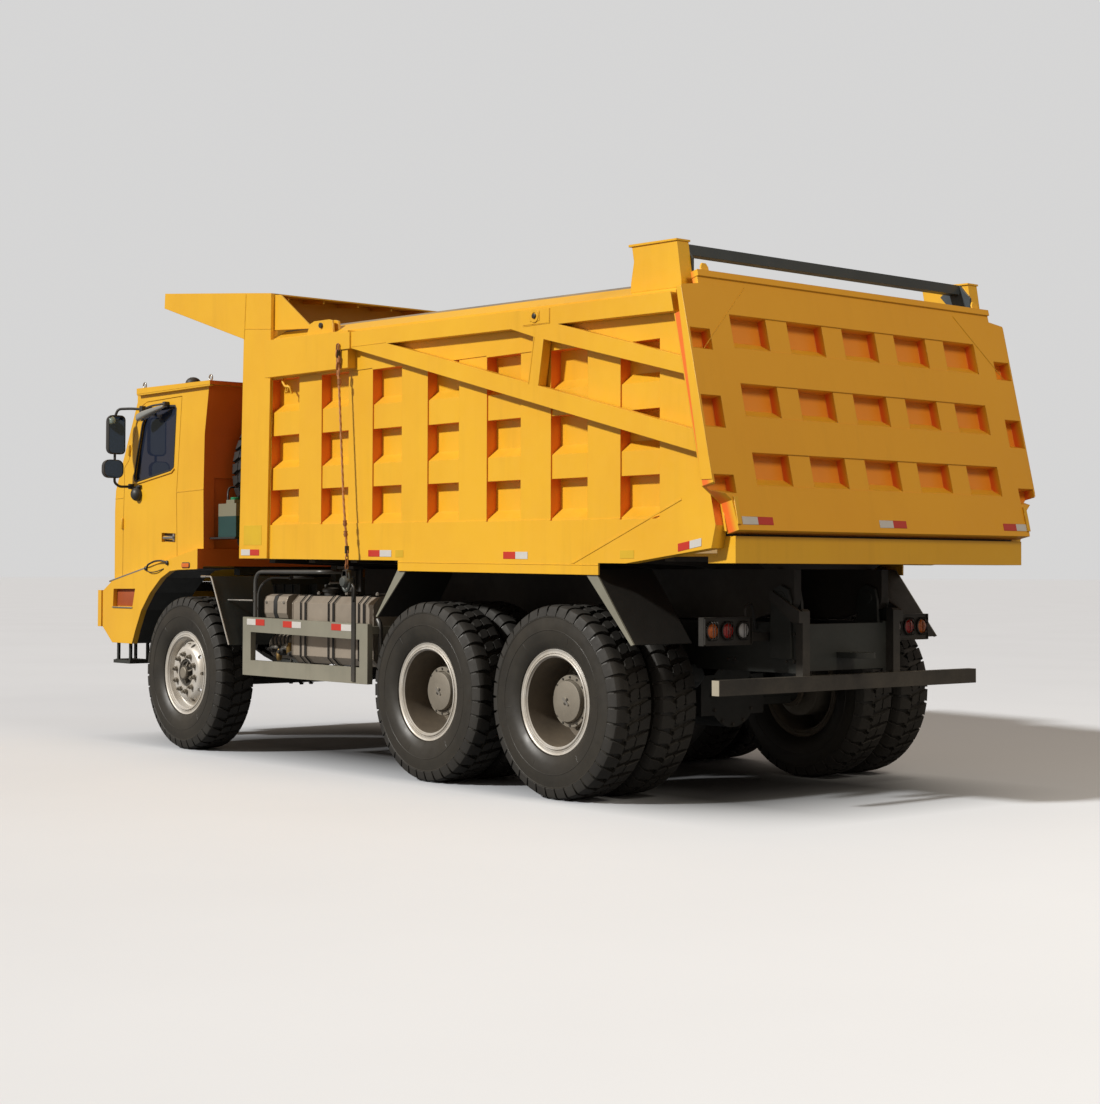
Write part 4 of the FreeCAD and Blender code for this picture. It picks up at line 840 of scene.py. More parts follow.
def lug_shape(depth, pitch, side):
    "one shoulder lug: a raised block that runs over the shoulder, widest outside"
    s = Shape()
    top = [(0.05, TYRE_R), (0.082, TYRE_R), (0.118, TYRE_R - 0.001), (0.142, TYRE_R - 0.005),
           (0.158, TYRE_R - 0.014), (0.1665, TYRE_R - 0.028), (0.1745, 0.628), (0.1815, 0.606),
           (0.178, 0.601)]
    low = [(0.05, TYRE_R - depth - 0.004), (0.082, TYRE_R - depth - 0.004), (0.118, TYRE_R - depth - 0.004),
           (0.138, TYRE_R - depth - 0.006), (0.15, 0.64), (0.16, 0.63), (0.166, 0.615), (0.172, 0.604),
           (0.172, 0.6)]
    wide = [0.58, 0.62, 0.74, 0.8, 0.82, 0.83, 0.84, 0.85, 0.85]
    lean = [0.2, 0.08] + [0.0] * 7
    n = len(top)
    verts = []
    for row, grow in ((top, 0.0), (low, 0.04)):
        for (x, r), w, l in zip(row, wide, lean):
            for e in (-1, 1):
                a = pitch * (0.5 * e * (w + grow) + l)
                verts.append((side * x, math.sin(a) * r, math.cos(a) * r))
    f = []
    for k in range(n - 1):
        a, b = 2 * k, 2 * k + 2
        f.append((a, a + 1, b + 1, b))
        c, d = 2 * n + a, 2 * n + b
        f.append((c, d, d + 1, c + 1))
        f.append((a, b, d, c))
        f.append((a + 1, c + 1, d + 1, b + 1))
    f.append((0, 2 * n, 2 * n + 1, 1))
    e = 2 * (n - 1)
    f.append((e, e + 1, 2 * n + e + 1, 2 * n + e))
    s.add(verts, f, 0)
    return s


def crown_shape(depth, pitch):
    "one block of the middle row: a slanted block with a notch each side"
    s = Shape()
    outline = [(-0.044, -0.3), (-0.03, -0.4), (0.01, -0.3), (0.04, -0.12), (0.036, 0.05), (0.046, 0.26),
               (0.03, 0.4), (-0.01, 0.3), (-0.04, 0.12), (-0.036, -0.05)]

    def ring(r, grow, wide):
        return [(x * grow, math.sin(pitch * a * wide) * r, math.cos(pitch * a * wide) * r) for x,
                a in outline]
    s.prism(ring(TYRE_R - depth - 0.003, 1.06, 1.05), ring(TYRE_R - 0.0005, 1.0, 1.0))
    return s


def make_tyre(name, wheels, centre, axis="x", start=0.0):
    "casing, lugs and middle blocks of one tyre, its axis along x and then turned for the spare"
    pitch = 2 * math.pi / wheels.lugs
    body = Shape()
    body.lathe(tyre_profile(wheels.depth), (0, -Y0, 0), "x", 96, 0)
    for k in range(6):
        a = turn(k, 6) + 0.4
        for side in (1, -1):
            ring = []
            for sunk in (0.0, 0.003):
                for x, r in ((0.1795, 0.444), (0.1845, 0.47), (0.1872, 0.5)):
                    for e in (-0.0016, 0.0016):
                        ring.append((side * (x - sunk), math.sin(a + e / r) * r, math.cos(a + e / r) * r))
            body.add(ring, [(0, 1, 3, 2), (2, 3, 5, 4), (0, 2, 8, 6), (2, 4, 10, 8), (1, 7, 9, 3),
                            (3, 9, 11, 5), (0, 6, 7, 1), (4, 5, 11, 10), (6, 8, 9, 7), (8, 10, 11, 9)])
    obs = [body.build(name, ["tyre_rubber"], smooth=28, weld=False)]
    for shape, label, shift in ((lug_shape(wheels.depth, pitch, 1), "lugs", 0.0),
                                (lug_shape(wheels.depth, pitch, -1), "lugs", pitch / 2),
                                (crown_shape(wheels.depth, pitch), "blocks", pitch / 4)):
        obs.append(spun(shape, label, "tread_rubber", wheels.lugs, (0, 0, 0), start + shift, 25))
    ob = joined(name, obs)
    upright = Matrix.Rotation(math.pi / 2, 4, "Z") if axis == "y" else Matrix.Identity(4)
    ob.data.transform(Matrix.Translation(P(*centre)) @ upright)
    return ob


def to_right(ob, side):
    "turns a piece made for the left into its twin on the right where the side is -1"
    if side < 0:
        ob.data.transform(Matrix.Scale(-1, 4, (1, 0, 0)))
        ob.data.flip_normals()
    return ob


# outer lip, gutter band and lock ring of a rim, along and radius from the tyre's middle plane
LOCK_RING = [(0.118, 0.318), (0.127, 0.332), (0.127, 0.366), (0.131, 0.3735), (0.138, 0.3745),
             (0.1425, 0.371), (0.1405, 0.366), (0.1365, 0.361), (0.1355, 0.35), (0.1385, 0.3475),
             (0.1385, 0.3425), (0.133, 0.341), (0.133, 0.336), (0.1425, 0.3345), (0.1445, 0.33),
             (0.1435, 0.3245), (0.136, 0.3215), (0.128, 0.3135)]


class TRUCK_OT_tyres(bpy.types.Operator):
    """Tyres with shoulder lugs and a middle row of blocks"""
    bl_idname = "truck.tyres"
    bl_label = "Tyres"

    def execute(self, context):
        w = context.scene.truck_wheels
        seed = random.Random(4)
        for side, s in (("left", 1), ("right", -1)):
            ob = make_tyre("tyre_front_" + side, w, (s * FRONT_X, 0, AXLE_Z), start=seed.random())
            settle(ob, "front_wheel_" + side, "tyre_rubber", "front_tyre_" + side)
            for axle, y in (("middle", Y_MID), ("rear", Y_REAR)):
                pair = [make_tyre("t", w, (s * x, y, AXLE_Z), start=seed.random())
                        for x in (OUTER_X, INNER_X)]
                ob = joined("tyres_%s_%s" % (axle, side), pair)
                settle(ob, "%s_wheels_%s" % (axle, side), "tyre_rubber", "%s_tyres_%s" % (axle, side))
        ob = make_tyre("tyre_spare", w, SPARE, axis="y", start=0.3)
        settle(ob, "chassis", "tyre_rubber", "spare_tyre")
        return {"FINISHED"}


def front_rim(side, wheels):
    "disc with hand holes, ring of nuts, dark hub with ribs and a cap"
    s = Shape()
    prof = LOCK_RING + [(0.066, 0.306), (0.06, 0.296), (0.07, 0.284), (0.104, 0.258), (0.124, 0.24),
                        (0.134, 0.224), (0.138, 0.212), (0.138, 0.124), (0.12, 0.121), (0.118, 0.121),
                        (0.118, 0.208), (0.108, 0.23), (0.09, 0.25), (0.056, 0.276), (0.04, 0.29),
                        (0.04, 0.304), (-0.12, 0.306), (-0.128, 0.3135), (-0.136, 0.3215), (-0.1435, 0.3245),
                        (-0.1425, 0.3345), (-0.133, 0.336), (-0.1355, 0.35), (-0.1365, 0.361),
                        (-0.1425, 0.371), (-0.131, 0.3735), (-0.127, 0.366), (-0.127, 0.332), (-0.118, 0.318)]
    s.lathe(prof, (FRONT_X, 0, AXLE_Z), "x", 96, 0)
    disc = s.build("disc", ["rim_paint"], smooth=0)
    c = Shape()
    for k in range(wheels.nuts):
        a = turn(k + 0.5, wheels.nuts)
        c.disc(P(FRONT_X + 0.02, 0.252 * math.sin(a), AXLE_Z + 0.252 * math.cos(a)), "x", 0.0175, 0.16, 16)
    holes = c.build("holes", ["rim_paint"], smooth=0)
    mod = disc.modifiers.new("hand_holes", "BOOLEAN")
    mod.object, mod.operation, mod.solver = holes, "DIFFERENCE", "EXACT"
    disc = flatten(disc)
    bpy.data.objects.remove(holes)
    soften(disc.data, 32)
    h = Shape()
    # hub behind the disc, and its cap
    h.lathe([(-0.13, 0.0), (-0.13, 0.115), (0.128, 0.118), (0.128, 0.1), (0.115, 0.094), (0.112, 0.062),
             (0.15, 0.058), (0.15, 0.0)], (FRONT_X, 0, AXLE_Z), "x", 48, 0)
    h.lathe([(0.15, 0.0), (0.15, 0.056), (0.166, 0.054), (0.172, 0.046), (0.174, 0.0)], (FRONT_X, 0, AXLE_Z),
            "x", 40, 1)
    for k in range(6):
        a = turn(k, 6) + 0.2
        u, v = Vector((0, math.cos(a), -math.sin(a))), Vector((0, math.sin(a), math.cos(a)))

        def rib_side(x_in, x_out, half_in, half_out):
            corners = ((x_in, 0.055, -half_in), (x_out, 0.098, -half_out), (x_out, 0.098, half_out),
                       (x_in, 0.055, half_in))
            return [P(FRONT_X + x, 0, AXLE_Z) + v * r + u * w for x, r, w in corners]
        h.prism(rib_side(0.1, 0.1, 0.008, 0.006), rib_side(0.146, 0.13, 0.006, 0.004), 1)
    hub = h.build("hub", ["dark_hub", "hub_paint"], smooth=32)
    nut = Shape()
    nut.disc(Vector((FRONT_X + 0.137, 0, 0.167)), "x", 0.027, 0.006, 18, r2=0.024)
    foot, top = (Vector((FRONT_X + x, 0, 0.167)) for x in (0.143, 0.167))
    y_axis, z_axis = Vector(AXES["y"]), Vector(AXES["z"])
    nut.prism(circle(foot, z_axis, y_axis, 0.022, 6), circle(top, z_axis, y_axis, 0.0215, 6))
    nut.disc(top, "x", 0.013, 0.022, 14, r2=0.0115)
    nuts = spun(nut, "nuts", "hub_paint", wheels.nuts, P(0, 0, AXLE_Z), start=0.12)
    valve = Shape()
    valve.pipe([P(FRONT_X + x, 0.262 * math.sin(a), AXLE_Z + 0.262 * math.cos(a))
                for x, a in ((0.065, 0.05), (0.095, 0.05), (0.13, 0.06))], 0.005, 8)
    ob = joined("rim_front_" + ("left" if side > 0 else "right"),
                [disc, hub, nuts, valve.build("valve", ["zinc"])])
    return to_right(ob, side)


def twin_rim(side, y, wheels, name):
    "two rims back to back, a deep dusty barrel outside, and the hub with its bolts and cover"
    s = Shape()
    mirror = [(-t, r) for t, r in LOCK_RING[::-1]]
    out = [(OUTER_X + t, r) for t, r in LOCK_RING]
    out += [(OUTER_X + 0.09, 0.309), (OUTER_X - 0.12, 0.304), (1.296, 0.298), (1.285, 0.17), (1.262, 0.17),
            (1.262, 0.302)]
    back = [(OUTER_X + t, r) for t, r in mirror]
    prof = out + back[:1] + back
    n_bright, n_out = len(LOCK_RING), len(out)
    mats = [0] * (n_bright - 1) + [1] * (n_out - n_bright + 1) + [1] * (len(back) + 1)
    s.lathe(prof, (0, y, AXLE_Z), "x", 96, 0, mats=mats)
    inner = [(INNER_X + t, r) for t, r in LOCK_RING]
    prof = inner + [(1.258, 0.306), (1.258, 0.168), (1.24, 0.168), (1.24, 0.296), (INNER_X - 0.09, 0.304)]
    prof += [(INNER_X + t, r) for t, r in mirror]
    s.lathe(prof, (0, y, AXLE_Z), "x", 96, 1)
    # brake drum, hub body, bolt flange and cover
    s.lathe([(0.872, 0.07), (0.872, 0.203), (1.17, 0.205), (1.18, 0.17), (1.3, 0.168), (1.34, 0.15),
             (1.425, 0.155), (1.436, 0.184), (1.44, 0.1865), (1.47, 0.1865), (1.475, 0.184), (1.476, 0.1545),
             (1.468, 0.152), (1.468, 0.0), (0.9, 0.0)], (0, y, AXLE_Z), "x", 64, 2)
    s.lathe([(1.466, 0.0), (1.466, 0.1485), (1.5, 0.147), (1.508, 0.1435), (1.5105, 0.137), (1.5125, 0.04),
             (1.5125, 0.0)], (0, y, AXLE_Z), "x", 64, 2)
    c = P(1.512, y, AXLE_Z)
    d = Vector((0, 0.75, -0.66)).normalized()
    e = Vector((0, -d.z, d.y))

    def boss(t, k):
        half = [(-0.04, -0.006), (-0.034, -0.009), (0.034, -0.009), (0.04, -0.006)]
        return [c + Vector((t, 0, 0)) + d * u * k + e * w * k for u, w in half + [(-u, -w) for u, w in half]]
    s.prism(boss(-0.002, 1.0), boss(0.01, 0.92), 3)
    for k in (1, -1):
        s.disc(c - Vector((0.002, 0, 0)) + e * (0.02 * k), "x", 0.01, 0.008, 6, 4)
    body = s.build(name, ["rim_paint", "rim_barrel", "hub_paint", "zinc", "dark_hub"], smooth=32)
    b = Shape()
    b.disc(Vector((1.4745, 0, 0.1705)), "x", 0.0095, 0.0065, 12, r2=0.0085)
    bolts = spun(b, "bolts", "dark_hub", wheels.holes, P(0, y, AXLE_Z))
    k = Shape()
    k.bolt((1.292, -Y0, 0.235), "x", 0.02, 0.026)
    studs = spun(k, "studs", "hub_paint", 10, P(0, y, AXLE_Z))
    return to_right(joined(name, [body, bolts, studs]), side)


class TRUCK_OT_rims(bpy.types.Operator):
    """Rims, hubs, nuts and bolts"""
    bl_idname = "truck.rims"
    bl_label = "Rims and hubs"

    def execute(self, context):
        w = context.scene.truck_wheels
        for side, s in (("left", 1), ("right", -1)):
            settle(front_rim(s, w), "front_wheel_" + side, "rim_paint", "front_rim_" + side)
            for axle, y in (("middle", Y_MID), ("rear", Y_REAR)):
                name = "rims_%s_%s" % (axle, side)
                settle(twin_rim(s, y, w, name), "%s_wheels_%s" % (axle, side), "rim_paint",
                       "%s_rims_%s" % (axle, side))
        s = Shape()
        prof = [(-t, r) for t, r in LOCK_RING]
        prof += [(-0.066, 0.306), (-0.06, 0.298), (-0.058, 0.17), (-0.04, 0.17), (-0.04, 0.29), (0, 0.304)]
        prof += LOCK_RING[::-1]
        s.lathe(prof, SPARE, "y", 72, 0)
        settle(s.build("rim_of_spare", ["rim_paint"], smooth=32), "chassis", "rim_paint", "spare_rim")
        return {"FINISHED"}


# ---- trim shared by several places
def arc_points(points, radius=0.04, steps=5):
    "polyline with its corners rounded"
    pts = [Vector(p) for p in points]
    out = [pts[0]]
    for a, b, c in zip(pts, pts[1:], pts[2:]):
        u, w = a - b, c - b
        d = min(radius, u.length * 0.45, w.length * 0.45)
        p, q = b + u.normalized() * d, b + w.normalized() * d
        for k in range(steps + 1):
            f = k / steps
            out.append(p * (1 - f) ** 2 + b * (2 * f * (1 - f)) + q * f ** 2)
    return out + [pts[-1]]


def bent(shape, points, r, radius=0.04, n=10, mat=0):
    shape.pipe([P(*p) for p in arc_points(points, radius)], r, n, mat)


def oval_link(shape, centre, along, across, length, width, wire, mat=0, n=14):
    "one chain link: a closed wire loop"
    u, w = Vector(along).normalized(), Vector(across).normalized()
    straight, bend = (length - width) / 2, (width - wire) / 2
    pts = []
    for k in range(n):
        a = turn(k, n)
        shift = straight if math.cos(a) > 0 else -straight
        pts.append(P(*centre) + u * (math.cos(a) * bend + shift) + w * math.sin(a) * bend)
    shape.pipe(pts, wire / 2, 6, mat, closed=True)


def strip_on(shape, x, a, b, width, mats, thick=0.003, out=1):
    "reflecting tape on an upright face across x, in equal lengths of each finish"
    (ya, za), (yb, zb) = a, b
    n = len(mats)
    rise = (zb - za) / (yb - ya)
    for k, m in enumerate(mats):
        y0, y1 = ya + (yb - ya) * k / n + 0.0008, ya + (yb - ya) * (k + 1) / n
        z0, z1 = za + rise * (y0 - ya), za + rise * (y1 - ya)
        h = width / 2
        shape.slab([(y0, z0 - h), (y1, z1 - h), (y1, z1 + h), (y0, z0 + h)], "x", x, x + out * thick, m)


def gate_y(z, off=0.0):
    "rear face of the tailgate at height z, off metres outside it"
    return GATE_Y - LEAN * (z - GATE_Z) + off * math.sqrt(1 + LEAN * LEAN)


def gate_strip(shape, x0, x1, z, width, mats, thick=0.003):
    "tape on the tailgate's rear face from x0 to x1, in equal lengths of each finish"
    n, low, top = len(mats), z - width / 2, z + width / 2
    for k, m in enumerate(mats):
        xa, xb = x0 + (x1 - x0) * k / n, x0 + (x1 - x0) * (k + 1) / n
        back = [P(u, gate_y(w), w) for u, w in ((xa, low), (xb, low), (xb, top), (xa, top))]
        shape.prism(back, [p + Vector((0, thick, 0)) for p in back], m)


def weld(shape, points, r, seed):
    "bead of weld with ripples along a seam"
    rnd = random.Random(seed)
    pts = [Vector(p) for p in points]
    length = sum((b - a).length for a, b in zip(pts, pts[1:]))
    n = max(3, int(length / 0.014))
    out, radii = [], []
    for a, b in zip(pts, pts[1:]):
        k = max(2, int(n * (b - a).length / length))
        for i in range(k):
            out.append(P(*(a + (b - a) * i / k)))
            radii.append(r * rnd.uniform(0.8, 1.2))
    out.append(P(*pts[-1]))
    radii.append(r)
    shape.pipe(out, radii, 6)


# ---- tailgate ropes
ROPE_X = 1.715                # plane of each rope


class TRUCK_OT_ropes(bpy.types.Operator):
    """The ropes that pull the tailgate open, with links and shackles at both ends"""
    bl_idname = "truck.ropes"
    bl_label = "Tailgate ropes"

    def execute(self, context):
        s = Shape()
        top, mid, low = (Vector((ROPE_X, y, z)) for y, z in ((2.474, 3.33), (2.566, 2.168), (2.618, 1.76)))
        strand = [top.lerp(mid, k / 40) for k in range(40)] + [mid.lerp(low, k / 16) for k in range(17)]
        for coil in range(3):
            pts = []
            for k, p in enumerate(strand):
                a = k * 0.9 + turn(coil, 3)
                pts.append(P(p.x + math.cos(a) * 0.0052, p.y + math.sin(a) * 0.0052, p.z))
            s.pipe(pts, 0.0058, 6, 0)
        for k in range(5):
            oval_link(s, (ROPE_X, 2.47 + 0.003 * k, 3.396 - 0.05 * k), (0, 0.08, 1),
                      (1, 0, 0) if k % 2 else (0, 1, -0.08), 0.074, 0.046, 0.014, 1)
        # knots of wire where the rope doubles back
        for y, z in ((2.497, 3.12), (2.588, 1.985), (2.598, 1.9)):
            s.lathe([(-0.028, 0.0), (-0.028, 0.012), (-0.01, 0.019), (0.006, 0.014), (0.016, 0.018),
                     (0.028, 0.0)], (ROPE_X, y, z), (0, -0.08, 1), 12, 1)
        for k in range(5):
            oval_link(s, (ROPE_X, 2.619 - 0.0015 * k, 1.742 - 0.036 * k), (0, -0.05, 1),
                      (1, 0, 0) if k % 2 else (0, 1, 0.05), 0.058, 0.034, 0.011, 1)
        for y, z in ((2.474, 3.345), (2.617, 1.77)):
            s.block(ROPE_X - 0.014, ROPE_X + 0.014, y - 0.01, y + 0.01, z - 0.03, z + 0.03, 2)
        s.lathe([(-0.012, 0.0), (-0.012, 0.022), (0.0, 0.03), (0.012, 0.022), (0.012, 0.0)],
                (ROPE_X, 2.612, 1.592), "x", 20, 2)
        s.mirrored()
        settle(s.build("ropes_of_tailgate", ["rope_steel", "chain_rust", "black_steel_and_painted_shade"], smooth=40,
                       weld=False), "tailgate", "rope_steel", "tailgate_ropes")
        return {"FINISHED"}


# ---- bed and tailgate
def canopy_rib():
    "short stiffener between the canopy's cross members"
    s = Shape()
    s.slab([(-0.48, 4.143), (1.3, 3.957), (1.3, 3.925), (-0.48, 4.106)], "x", -1.446, -1.434, 0)
    return s


class TRUCK_OT_bed_trim(bpy.types.Operator):
    """Tape, plates, weld seams, hooks and lugs on the bed, stiffeners under its canopy"""
    bl_idname = "truck.bed_trim"
    bl_label = "Bed trim"

    def execute(self, context):
        s = Shape()
        for a, b, mats in (((0.87, 1.76), (1.165, 1.757), (1, 2)), ((2.765, 1.741), (3.08, 1.738), (2, 1)),
                           ((4.48, 1.717), (4.76, 1.714), (2, 1)), ((6.31, 1.757), (6.53, 1.792), (2, 1))):
            face_x = POST_X if a[0] < 1.3 else SIDE_X
            strip_on(s, face_x, a, b, 0.052, mats)
        # blank yellow sheets on the front post and beside the rear tape
        s.slab([(0.914, 1.822), (1.205, 1.82), (1.205, 1.99), (0.914, 1.992)], "x", POST_X, POST_X + 0.002, 5)
        for y0, y1, z0, z1 in ((3.135, 3.24, 1.708, 1.764), (5.745, 5.885, 1.688, 1.744)):
            s.slab([(y0, z0), (y1, z0), (y1, z1), (y0, z1)], "x", SIDE_X, SIDE_X + 0.002, 5)
        # edge plate from the tailgate's foot up the side's rear end
        s.slab([(5.235, 1.658), (6.34, 2.08), (6.345, 2.068), (5.262, 1.654)], "x", SIDE_X, SIDE_X + 0.004, 0)
        for x0, x1, y0, y1 in ((1.53, 1.542, 6.6, 6.69), (1.584, 1.596, 6.555, 6.64)):
            s.slab([(y0, 1.86), (y1, 1.86), (y1 - 0.045, 2.075), (y0 - 0.045, 2.075)], "x", x0, x1, 0)
        s.block(1.53, 1.596, 6.6, 6.612, 1.86, 1.905, 0)
        # lug with its pin on the top rail, near the front
        lug = [(1.9, 3.545), (2.3, 3.537), (2.285, 3.64), (2.24, 3.652), (2.02, 3.657), (1.96, 3.64)]
        for x0, x1 in ((1.568, 1.592), (1.628, 1.648)):
            s.slab(lug, "x", x0, x1)
        s.rod(-0.055, 0.058, 0.022, (1.606, 2.13, 3.612), "x", 20, 4)
        # lifting hook at the top rail
        bent(s, [(1.602, 1.5, 3.225), (1.628, 1.505, 3.205), (1.632, 1.56, 3.15), (1.62, 1.61, 3.15),
                 (1.602, 1.618, 3.09)], 0.011, 0.03)
        oval_link(s, (1.622, 1.57, 3.135), (0, 0.2, 1), (0, 1, 0), 0.07, 0.04, 0.012, 0)
        # end of the lever's pivot pin
        s.lathe([(0, 0), (0, 0.019), (0.01, 0.019), (0.012, 0.016), (0.012, 0)], (1.694, 4.931, 3.407), "x",
                28, 4)
        s.mirrored()
        # dark strip in the slit between the sill and the tailgate's foot: painted shadow
        s.block(-1.49, 1.49, 6.62, 6.64, 1.8302, 1.862, 4)
        # weld seams: post to side, bottom band to skirt, rail plate
        beads = Shape()
        for sx in (1, -1):
            for x, (ya, za), (yb, zb), r, seed in ((1.6115, (1.292, 1.72), (1.327, 3.23), 0.004, 3),
                                                   (1.6105, (3.166, 1.668), (5.522, 1.644), 0.003, 5),
                                                   (1.6105, (1.34, 3.398), (6.3, 3.334), 0.0035, 7),
                                                   (1.636, (0.905, 3.7), (1.328, 3.66), 0.003, 8),
                                                   (1.636, (0.9, 3.61), (0.925, 4.0), 0.003, 9)):
                weld(beads, [(sx * x, ya, za), (sx * x, yb, zb)], r, seed)
        mats = ["body_paint", "reflector_white", "reflector_red", "zinc", "black_steel_and_painted_shade", "sheet_yellow"]
        obs = [s.build("a", mats, smooth=35, bevel=0.0015, segments=1),
               beads.build("b", ["body_paint"], smooth=45, weld=False)]
        settle(joined("trim_of_bed", obs), "bed", "body_paint")
        # row of stiffeners under the canopy's roof
        settle(rowed(canopy_rib(), "canopy_ribs", "body_paint", 9, (0.36, 0, 0)), "bed", "body_paint")
        return {"FINISHED"}


class TRUCK_OT_gate_trim(bpy.types.Operator):
    """Tape, seams, ears and edge plates of the tailgate, seams and plates of its levers"""
    bl_idname = "truck.gate_trim"
    bl_label = "Tailgate trim"

    def execute(self, context):
        s = Shape()
        for x0, x1, z, mats in ((1.486, 1.199, 1.93, (1, 2)), (0.147, -0.137, 1.93, (1, 2)),
                                (-1.229, -1.531, 1.932, (2, 1))):
            gate_strip(s, x0, x1, z, 0.052, mats)
        for sx in (1, -1):
            # strengthening plate at the lower corner
            plate = ((1.5, 1.905), (1.536, 1.905), (1.536, 2.085), (1.5, 2.085))
            back = [P(sx * x, gate_y(z, 0.001), z) for x, z in plate]
            s.prism(back, [p + Vector((0, 0.01, 0)) for p in back])
            # edge strap down the gate's side
            strap = ((2.19, -0.1), (2.19, 0), (3.46, 0), (3.46, -0.045))
            back = [P(sx * 1.689, gate_y(z, off), z) for z, off in strap]
            s.prism(back, [p + Vector((sx * 0.006, 0, 0)) for p in back])
            # ear on the top edge
            ear = [(-0.035, 3.578), (0.035, 3.578), (0.035, 3.615), (0.018, 3.64), (-0.018, 3.64),
                   (-0.035, 3.615)]
            front = [P(sx * (1.425 + x), gate_y(z, -0.034), z) for x, z in ear]
            s.prism(front, [p + Vector((0, 0.014, 0)) for p in front])
        beads = Shape()
        for sx in (1, -1):
            weld(beads, [(sx * x, gate_y(z, 0.001), z) for x, z in ((1.1, 3.5), (1.58, 3.05))], 0.0028, 31)
        obs = [s.build("a", ["body_paint", "reflector_white", "reflector_red"], smooth=35, bevel=0.0015,
                       segments=1), beads.build("b", ["body_paint"], smooth=45, weld=False)]
        settle(joined("trim_of_tailgate", obs), "tailgate", "body_paint")
        # seams of the lever arms
        t = Shape()
        arm_x = 1.6905
        for sx in (1, -1):
            for ya, za, yb, zb, r, seed in ((5.095, 3.347, 5.095, 3.45, 0.003, 41),
                                            (4.798, 3.345, 5.095, 3.343, 0.003, 42),
                                            (4.925, 3.26, 4.862, 2.93, 0.003, 43),
                                            (2.625, 3.39, 3.1, 3.383, 0.0028, 44)):
                weld(t, [(sx * arm_x, ya, za), (sx * arm_x, yb, zb)], r, seed)
            # raised plate round the pivot's pin
            t.slab([(4.8, 3.352), (5.09, 3.346), (5.09, 3.448), (4.8, 3.454)], "x", sx * 1.6902, sx * 1.693,
                   0)
            t.slab([(4.88, 3.372), (4.984, 3.37), (4.984, 3.44), (4.88, 3.442)], "x", sx * 1.6931, sx * 1.696,
                   0)
        settle(t.build("trim_of_levers", ["body_paint", "zinc"], smooth=40, weld=False), "tailgate",
               "body_paint")
        return {"FINISHED"}


# ---- cab
CAB_X = 1.56                  # outer face of the cab's left side
DECK_Z = 1.715                # top of the deck on the right
BUMPER_Y = -1.86              # front face of the bumper
FOOT_X = 1.6205               # just outside the cab's foot
GUARD_X = 1.64                # outer face of the side guards
CLEANER_X, CLEANER_Y = -1.18, 0.48      # axis of the air cleaner
LAMP_Y = 6.1105               # just behind the lamp boxes


def ledge(y, off=0.0):
    "height of the cab's foot at y, which rises to the rear"
    return 1.509 + 0.18 * (y + 1.515) + off


def rounded_outline(u0, u1, w0, w1, r, n=5):
    "rectangle with rounded corners, as (u, w) points"
    pts = []
    for cu, cw, a0 in ((u1 - r, w1 - r, 0), (u0 + r, w1 - r, 90), (u0 + r, w0 + r, 180),
                       (u1 - r, w0 + r, 270)):
        for k in range(n + 1):
            a = math.radians(a0 + 90.0 * k / n)
            pts.append((cu + r * math.cos(a), cw + r * math.sin(a)))
    return pts


def mirror_head(s, x0, x1, z0, z1, y0, y1, r):
    "rounded housing that bulges to the front, its glass set in the rear face"
    mid_x, mid_z = (x0 + x1) / 2, (z0 + z1) / 2
    outline = rounded_outline(x0, x1, z0, z1, r, 7)

    def level(f, y):
        return [P(mid_x + (u - mid_x) * f, y, mid_z + (w - mid_z) * f) for u, w in outline]
    steps = ((1, 0), (1, 0.35), (0.97, 0.62), (0.88, 0.85), (0.72, 1))
    rings = [level(f, y1 + (y0 - y1) * t) for f, t in steps]
    n, last = len(outline), len(rings) * len(outline)
    faces = [tuple(range(last - n, last))] + sleeve(0, last, n) + sleeve(last, last + n, n)
    for k in range(len(rings) - 1):
        faces += sleeve(k * n, (k + 1) * n, n)
    rings += [level(0.93, y1), level(0.93, y1 - 0.006)]
    s.add([p for ring in rings for p in ring], faces, 0)
    s.f.append(tuple(range(len(s.v) - n, len(s.v))))
    s.m.append(1)


def left_mirrors():
    "two heads on one bent arm, in front of the door"
    s = Shape()
    mirror_head(s, 1.665, 1.84, 2.7, 3.07, -1.29, -1.2, 0.045)
    mirror_head(s, 1.682, 1.884, 2.474, 2.648, -1.29, -1.2, 0.062)
    bent(s, [(1.56, -1.028, 3.122), (1.64, -1.12, 3.134), (1.735, -1.222, 3.13), (1.752, -1.245, 3.06),
             (1.752, -1.245, 3.03)], 0.0125, 0.07, 12)
    bent(s, [(1.752, -1.245, 2.72), (1.752, -1.245, 2.63)], 0.0125, 0.02, 12)
    bent(s, [(1.752, -1.245, 2.49), (1.752, -1.248, 2.435), (1.7, -1.25, 2.396), (1.562, -1.25, 2.4)], 0.0125,
         0.06, 12)
    s.slab(rounded_outline(-1.056, -1.0, 3.092, 3.156, 0.014), "x", CAB_X + 0.0005, 1.6)
    s.slab(rounded_outline(-1.282, -1.222, 2.376, 2.426, 0.014), "x", CAB_X + 0.0005, 1.592)
    s.lathe([(0.0, 0.0), (0.0, 0.02), (0.022, 0.02), (0.026, 0.012), (0.026, 0.0)], (1.752, -1.245, 3.036),
            "z", 20, 0)
    body = s.build("mirrors", ["black_plastic", "mirror_glass"], smooth=40)
    settle(body, "door", "black_plastic", "door_mirror")


